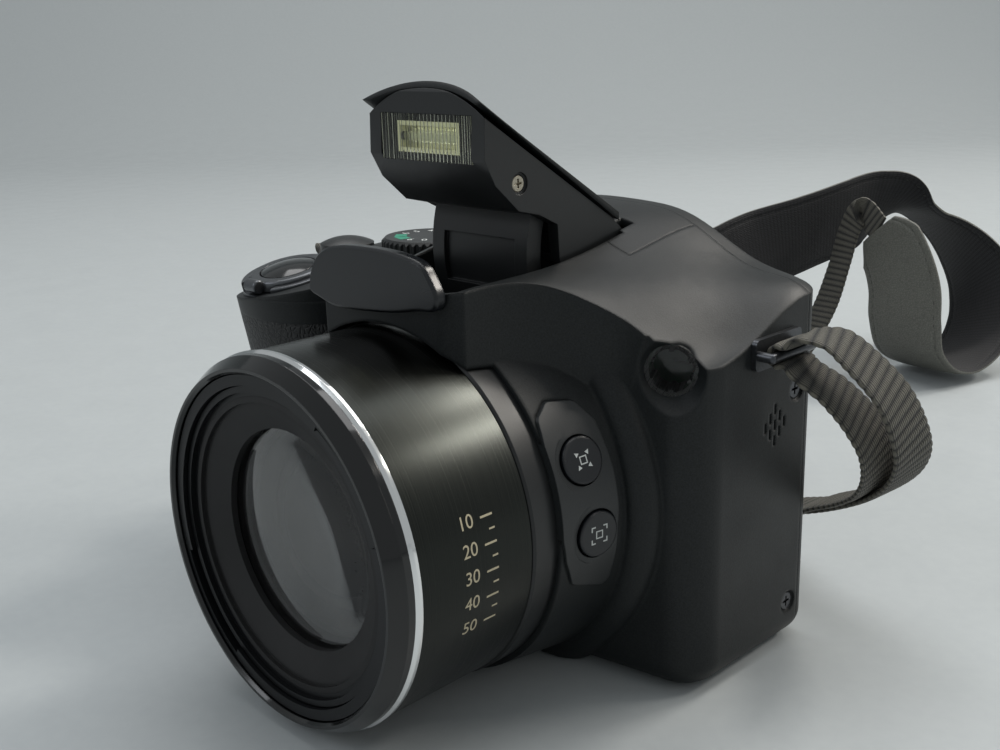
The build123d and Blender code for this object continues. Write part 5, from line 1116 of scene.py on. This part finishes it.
@dataclass
class Strap(Assembly):
    """The webbing, the sliders and the neck pad."""

    width: float = 10.0
    thick: float = 1.3
    pad_width: float = 29.0
    pad_thick: float = 2.6
    slider_length: float = 13.0
    lug_reach: float = 63.7
    wire_radius: float = 0.9
    gap: float = 0.3
    run_gap: float = 0.2
    rib: float = 1.95
    web_step: float = 0.3
    pad_step: float = 0.8
    pad_taper: float = 7.0
    seam_share: float = 0.84
    stitch_pitch: float = 3.6
    stitch_length: float = 2.4
    stitch_radius: float = 0.26

    def make(self) -> None:
        """Build the webbing and the pad and dress the sliders."""
        pad = np.array(PAD, float)
        left = (pad[-1, :3], pad[-1, 3:], unit(pad[-1, :3] - pad[-2, :3]))
        right = (pad[0, :3], pad[0, 3:], unit(pad[0, :3] - pad[1, :3]))
        route = self.route(1, LEFT_TAIL, LEFT_ADJUSTER, LEFT_OUTER, LEFT_INNER, left)
        self.webbing("webbing_left", "strap_left", route)
        route = self.route(-1, RIGHT_TAIL, RIGHT_ADJUSTER, RIGHT_OUTER, RIGHT_INNER, right)
        self.webbing("webbing_right", "strap_right", route)
        self.copies(GLOSS, BODY, "strap_adjusters")
        self.neck_pad(pad)

    def route(
        self, side: int, tail: list, adjuster: list, outer: list, inner: list, end: tuple
    ) -> np.ndarray:
        """Places and width directions of one webbing, pad end first.

        Args:
            side: 1 for the camera's left lug and -1 for its right one.
            tail: places and widths from the slider to the pad.
            adjuster: the slider's middle, aim and width.
            outer: places of the outer strand, lug first.
            inner: places of the inner strand, lug first.
            end: the pad end's place, width and outward aim.

        Returns:
            Rows of six numbers.
        """
        middle, aim, wide = (np.array(v, float) for v in adjuster)
        aim = unit(aim)
        across = unit(wide - aim * (aim @ wide))
        normal = np.cross(aim, across)
        normal = normal if normal[2] > 0 else -normal
        rise = normal * (self.thick / 2 + self.run_gap)
        lead = aim * self.slider_length / 2
        lug = np.array([0.0, 1.0, 0.0])
        reach = self.wire_radius + self.gap + self.thick / 2
        turns = np.radians([60, 100, 140, 180, 220, 260, 300])
        wire = np.array([side * self.lug_reach, -15.0, 60.4])
        ring = wire + np.stack([side * reach * np.cos(turns), np.zeros(7), reach * np.sin(turns)], -1)
        rows = [np.concatenate([end[0], unit(end[1])])]
        rows += [np.array(p, float) for p in tail[::-1]]
        rows += [np.concatenate([middle + lead * k + rise, across]) for k in (1.6, 1.15, -1.15)]
        for share, p in zip(np.linspace(0.1, 1, len(outer)), outer[::-1]):
            rows.append(np.concatenate([p, unit(across * (1 - share) + lug * share)]))
        rows += [np.concatenate([p, lug]) for p in ring]
        for share, p in zip(np.linspace(1, 0.1, len(inner)), inner):
            rows.append(np.concatenate([p, unit(across * (1 - share) + lug * share)]))
        rows += [np.concatenate([middle + lead * k - rise, across]) for k in (-1.15, 1.0)]
        table = np.array(rows)
        table[:, 3:] = unit(table[:, 3:])
        return table

    def webbing(self, name: str, node: str, route: np.ndarray) -> None:
        """The woven band: a rounded flat section carried along the route.

        The section is a superellipse. Its half thickness swells with the
        ribs, an absolute sine along the band with a slight slant across it,
        and its half width swells a little at each rib, as a selvedge does.

        Args:
            name: the piece's name.
            node: the CAD node that it stands for.
            route: its places and width directions.
        """
        line = BandLine.along(route, self.web_step)
        flat, tall = superellipse(36, 0.45)
        slant = flat[None, :] * 0.06
        rib = np.abs(np.sin(math.pi * (line.length[:, None] / self.rib + slant)))
        half_thick = (self.thick / 2) * (0.6 + 0.4 * rib**0.6)
        half_wide = (self.width / 2) * (0.955 + 0.045 * rib[:, :1] ** 0.6)
        across, out = half_wide * flat[None, :], half_thick * tall[None, :]
        obj, _ = line.band(name, across, out, flat * self.width / 2, WEBBING)
        tidy_normals(obj.data)
        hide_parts(node)
        self.keep(obj, BODY)

    def neck_pad(self, pad: np.ndarray) -> None:
        """The padded band: a crowned section carried along its route.

        The section is a flat superellipse, crowned by a cosine across the
        width, with a narrow valley along each seam, and both ends narrow to
        the webbing.

        Args:
            pad: places and width directions of the pad.
        """
        line = BandLine.along(pad, self.pad_step)
        from_end = np.minimum(line.length, line.length[-1] - line.length)
        half = self.pad_width / 2 * np.sqrt(np.clip(0.35 + 0.65 * from_end / self.pad_taper, 0, 1))
        flat, tall = superellipse(96, 0.5)
        seam = np.exp(-(((np.abs(flat) - self.seam_share) / 0.035) ** 2))
        crown = 0.72 + 0.28 * np.cos(flat * math.pi / 2) ** 0.6 - 0.3 * seam
        tall = tall * crown * self.pad_thick / 2
        across = half[:, None] * flat[None, :]
        obj, quads = line.band("padded_band", across, tall[None, :], across, PAD_FACE)
        obj.data.materials.append(PAD_BACK.material())
        under = np.zeros(len(obj.data.polygons), np.int32)
        under[: len(quads)] = (tall[quads[:, 0] % len(flat)] > 0.05).astype(np.int32)
        obj.data.polygons.foreach_set("material_index", under)
        tidy_normals(obj.data)
        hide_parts("neck_pad")
        self.keep(obj, BODY)
        self.stitches(line, half)

    def stitches(self, line: BandLine, half: np.ndarray) -> None:
        """Short threads in both seams, as small spindles.

        A spindle's radius falls towards its ends as the root of the sine of
        its share of length.

        Args:
            line: the band's middle line.
            half: the half width at each row.
        """
        spots = np.arange(5.0, line.length[-1] - 5.0, self.stitch_pitch)
        row = np.clip(np.searchsorted(line.length, spots), 0, len(line.length) - 1)
        steps, sides = 5, 6
        share = np.linspace(0.06, 0.94, steps)
        turn = np.linspace(0, 2 * math.pi, sides, endpoint=False)
        blocks, faces, start = [], [], 0
        for line_side in (-1, 1):
            for face in (-1, 1):
                reach = line_side * self.seam_share * half[row]
                base = line.centre[row] + line.wide[row] * reach[:, None]
                base = base + line.up[row] * face * 0.42
                along = (share - 0.5) * self.stitch_length
                radius = self.stitch_radius * np.sin(math.pi * share) ** 0.5
                ring = (
                    base[:, None, None, :]
                    + line.aim[row][:, None, None, :] * along[None, :, None, None]
                    + line.wide[row][:, None, None, :] * (radius[:, None] * np.cos(turn))[None, :, :, None]
                    + line.up[row][:, None, None, :] * (radius[:, None] * np.sin(turn))[None, :, :, None]
                )
                blocks.append(ring.reshape(-1, 3))
                one = grid_faces(steps, sides, False, True)
                count = steps * sides
                shift = start + np.arange(len(spots))[:, None, None] * count
                faces.append((one[None] + shift).reshape(-1, 4))
                caps = np.arange(sides)
                faces.append((caps[None, ::-1] + shift[:, 0]).reshape(-1, sides))
                faces.append((caps[None, :] + count - sides + shift[:, 0]).reshape(-1, sides))
                start += len(spots) * count
        obj = build("seam_threads", place(np.vstack(blocks)), faces, THREAD)
        tidy_normals(obj.data)
        self.keep(obj, BODY)


@dataclass
class PrintedMarks(Marks):
    """The plain ticks, numbers and signs on the barrel and the buttons."""

    lean: float = math.radians(9.0)
    panel_radius: float = 35.7
    button_proud: float = 0.35
    sleeve_radius: float = 32.9
    scale_place: float = -74.6
    ring_front: float = -86.6
    ring_outer: float = 24.14
    ring_inner: float = 19.6
    ring_fall: float = 2.1
    tick_start: float = 23.0
    dial_middle: tuple[float, float, float] = (-27.0, -18.5, 72.4)

    def make(self) -> None:
        """Print all marks."""
        self.barrel_scale()
        self.ring_ticks()
        self.button_signs()
        self.dial_marks()

    def digits(self, text: str, size: float) -> list[np.ndarray]:
        """Outlines of digits as filled triangles.

        Args:
            text: digits only.
            size: their height in millimetres.

        Returns:
            Triangles as x, y rows, centred on the text.
        """
        curve = bpy.data.curves.new("digits", "FONT")
        curve.body = text
        curve.size = size * 1.4
        curve.align_x = "CENTER"
        curve.align_y = "CENTER"
        holder = bpy.data.objects.new("digits", curve)
        bpy.context.scene.collection.objects.link(holder)
        bpy.context.view_layer.update()
        mesh = bpy.data.meshes.new_from_object(holder)
        mesh.calc_loop_triangles()
        corners = np.empty(len(mesh.vertices) * 3)
        mesh.vertices.foreach_get("co", corners)
        corners = corners.reshape(-1, 3)[:, :2]
        triangles = np.empty(len(mesh.loop_triangles) * 3, np.int64)
        mesh.loop_triangles.foreach_get("vertices", triangles)
        shapes = list(corners[triangles].reshape(-1, 3, 2))
        bpy.data.objects.remove(holder)
        bpy.data.meshes.remove(mesh)
        bpy.data.curves.remove(curve)
        return shapes

    def barrel_scale(self) -> None:
        """A plain scale on the sleeve: numbers with a tick beside each."""
        shapes = []
        for k, number in enumerate((10, 20, 30, 40, 50)):
            up = 9.0 - 4.5 * k
            shapes += [s + np.array([-1.0, up]) for s in self.digits(str(number), 2.3)]
            shapes += [bar(3.4, up, 2.6, 0.35)]
            shapes += [bar(4.1, up - 2.25, 1.2, 0.3)] if k < 4 else []
        self.wrapped("barrel_scale", shapes, self.sleeve_radius, (self.scale_place, 0.0), INK_GOLD, BODY)

    def ring_ticks(self) -> None:
        """Fine ticks on the front ring, at its top and its foot."""
        shapes = []
        for angle in list(range(56, 126, 5)) + list(range(236, 306, 5)):
            turn = math.radians(angle)
            out = np.array([math.cos(turn), math.sin(turn)])
            side = np.array([-out[1], out[0]])
            long = 1.3 if angle % 10 == 6 else 0.8
            near, far, wing = out * self.tick_start, out * (self.tick_start + long), side * 0.1
            shapes.append(np.array([near - wing, far - wing, far + wing, near + wing]))
        # The ring is tapered there, so the ticks stand on its slope.
        tilt = self.ring_fall / (self.ring_outer - self.ring_inner)
        points, faces, start = [], [], 0
        for shape in shapes:
            r = np.linalg.norm(shape, axis=1)
            y = self.ring_front + (self.ring_outer - r) * tilt
            base = np.stack([LENS[0] + shape[:, 0], y, LENS[2] + shape[:, 1]], -1)
            points += [base, base - np.array([0, self.depth + 0.02, 0])]
            faces += prism_faces(len(shape), start)
            start += 2 * len(shape)
        obj = build("ring_ticks", place(np.vstack(points)), faces, INK_GREY, smooth=False)
        self.keep(obj, "inner_barrel")

    def button_signs(self) -> None:
        """A small square on each assist button, with arrow heads or corner brackets."""
        square = [bar(0, 0.62, 1.5, 0.2), bar(0, -0.62, 1.5, 0.2)]
        square += [bar(-0.65, 0, 0.2, 1.05), bar(0.65, 0, 0.2, 1.05)]
        corners = [(sx, sy) for sx in (-1, 1) for sy in (-1, 1)]
        heads = [self.arrow_head(sx, sy) for sx, sy in corners]
        brackets = [bracket(sx * 1.75, sy * 1.6, 0.9, 0.24, sx, sy) for sx, sy in corners]
        for name, angle, y, extra in (("upper", 20.7, -50.2, heads), ("lower", -0.8, -48.9, brackets)):
            turn = math.radians(angle)
            radial = np.array([math.cos(turn), 0.0, math.sin(turn)])
            out = radial * math.cos(self.lean) - np.array([0.0, math.sin(self.lean), 0.0])
            up = np.array([-math.sin(turn), 0.0, math.cos(turn)])
            right = np.cross(up, out)
            origin = np.array([LENS[0], y, LENS[2]]) + radial * self.panel_radius + out * self.button_proud
            frame = np.array([origin, right, up, out])
            self.flat("sign_" + name, square + extra, frame, INK_PALE, "assist_" + name)

    def arrow_head(self, sx: int, sy: int) -> np.ndarray:
        """A small triangle on a diagonal, its point away from the middle."""
        out = np.array([sx, sy]) / math.sqrt(2)
        side = np.array([-out[1], out[0]])
        return np.array([out * 1.35 - side * 0.42, out * 2.15, out * 1.35 + side * 0.42])

    def dial_marks(self) -> None:
        """A green patch and white numbers on the mode dial."""
        frame = np.array([self.dial_middle, [1, 0, 0], [0, 1, 0], [0, 0, 1]])
        white, green = [], []
        for k in range(12):
            angle = math.radians(30 * k + 12)
            out = np.array([math.cos(angle), math.sin(angle)])
            side = np.array([-out[1], out[0]])
            if k in (7, 8):
                near, far = out * 4.6, out * 7.2
                foot, head = side * 1.5, side * 1.9
                green.append(np.array([near - foot, far - head, far + head, near + foot]))
                continue
            for triangle in self.digits(str(k % 10), 2.0):
                turned = triangle[:, :1] * side[None, :] * -1 + triangle[:, 1:2] * out[None, :]
                white.append((out * 6.0)[None, :] + turned)
        self.flat("dial_numbers", white, frame, INK_WHITE, "dial")
        self.flat("dial_patch", green, frame, INK_GREEN, "dial")


@dataclass
class Studio:
    """The pale floor, the soft lights and the camera of the photograph."""

    azimuth: float = 45.55
    elevation: float = 16.19
    roll: float = -1.72
    eye: tuple[float, float, float] = (0.1570, -0.1681, 0.1153)
    lens: float = 42.656
    floor_colour: str = "#b4b9ba"
    knee: float = 0.95
    bend: float = 0.55
    floor_drop: float = 0.0006

    def make(self) -> None:
        """Set the whole stage."""
        self.floor()
        self.sky()
        self.lights()
        self.camera()
        bpy.context.scene.view_settings.view_transform = "Standard"

    def floor(self) -> None:
        """A floor that curves up into a wall far behind, as one sheet.

        The height is nought up to a line across the scene and then the arc
        and the straight of a photographer's sweep.
        """
        steps = 60
        away = np.linspace(-1.6, 1.9, steps)
        knee, radius = self.knee, self.bend
        past = np.clip(away - knee, 0, None)
        turn = np.clip(past / radius, 0, math.pi / 2)
        rest = np.clip(past - radius * math.pi / 2, 0, None)
        forward = np.where(away < knee, away, knee + radius * np.sin(turn))
        height = radius * (1 - np.cos(turn)) + rest * 6
        side = np.linspace(-3.0, 3.0, 8)
        a = math.radians(self.azimuth)
        deep = np.array([-math.sin(a), math.cos(a), 0])
        right = np.array([math.cos(a), math.sin(a), 0])
        points = (
            forward[:, None, None] * deep
            + side[None, :, None] * right
            + height[:, None, None] * np.array([0, 0, 1.0])
            - np.array([0, 0, self.floor_drop])
        )
        paper = Finish("pale_sweep", self.floor_colour, 0.38, "#adb2b4", grain=3.0, lift=0.0, speckle=0.9)
        obj = build("sweep", points.reshape(-1, 3), [grid_faces(steps, 8)], paper)

    def sky(self) -> None:
        """An even pale world."""
        world = bpy.data.worlds.new("studio")
        bpy.context.scene.world = world
        world.use_nodes = True
        tree = world.node_tree
        tree.nodes.clear()
        light = add(tree, "ShaderNodeBackground", {"Color": linear("#cdd2d4"), "Strength": 0.6})
        add(tree, "ShaderNodeOutputWorld", {"Surface": light.outputs[0]})

    def lamp(
        self, name: str, spot: tuple, aim: tuple, size: tuple[float, float], power: float, colour: str
    ) -> None:
        """A rectangular soft light at a place, aimed at a point.

        Args:
            name: the light's name.
            spot: its place in metres.
            aim: the point that it faces.
            size: its width and height in metres.
            power: its power in watts.
            colour: its colour.
        """
        data = bpy.data.lights.new(name, "AREA")
        data.shape = "RECTANGLE"
        data.size, data.size_y = size
        data.energy = power
        data.color = linear(colour)[:3]
        obj = bpy.data.objects.new(name, data)
        obj.location = spot
        obj.rotation_euler = (Vector(aim) - Vector(spot)).to_track_quat("-Z", "Y").to_euler()
        bpy.context.scene.collection.objects.link(obj)

    def lights(self) -> None:
        """A broad light overhead, two behind for the sleeve's streaks, weak ones in front."""
        middle = (0.0, -0.03, 0.04)
        self.lamp("overhead", (-0.2, 0.3, 1.25), middle, (1.3, 0.9), 9.6, "#ffffff")
        self.lamp("rear_high", (0.2, 0.82, 0.95), middle, (0.26, 0.12), 4.8, "#fff9f0")
        self.lamp("rear_right", (0.56, 0.8, 0.78), middle, (0.26, 0.12), 4.4, "#fff9f0")
        self.lamp("front_left", (-0.5, -0.9, 0.8), middle, (0.6, 0.5), 2.2, "#f4f8ff")
        self.lamp("right", (1.2, 0.2, 0.7), middle, (0.5, 0.5), 0.7, "#fff8ef")

    def camera(self) -> None:
        """The camera at the photograph's angle and field of view."""
        a, e, r = (math.radians(v) for v in (self.azimuth, self.elevation, self.roll))
        back = Vector((math.sin(a) * math.cos(e), -math.cos(a) * math.cos(e), math.sin(e)))
        right = Vector((math.cos(a), math.sin(a), 0))
        up = back.cross(right)
        right, up = right * math.cos(r) + up * math.sin(r), up * math.cos(r) - right * math.sin(r)
        data = bpy.data.cameras.new("photographer")
        data.sensor_width = 36.0
        data.lens = self.lens
        data.clip_start = 0.01
        obj = bpy.data.objects.new("photographer", data)
        matrix = Matrix((right, up, back)).transposed().to_4x4()
        matrix.translation = Vector(self.eye)
        obj.matrix_world = matrix
        bpy.context.scene.collection.objects.link(obj)
        bpy.context.scene.camera = obj


def main() -> None:
    """Load the model, dress and build every piece, and set the stage."""
    logging.basicConfig(level=logging.INFO, format="%(message)s")
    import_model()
    parts = (Housing, Lens, FlashHead, TopControls, BackControls, AssistPanel, Strap, PrintedMarks)
    for part in parts:
        part().make()
    Studio().make()


if __name__ == "__main__":
    main()
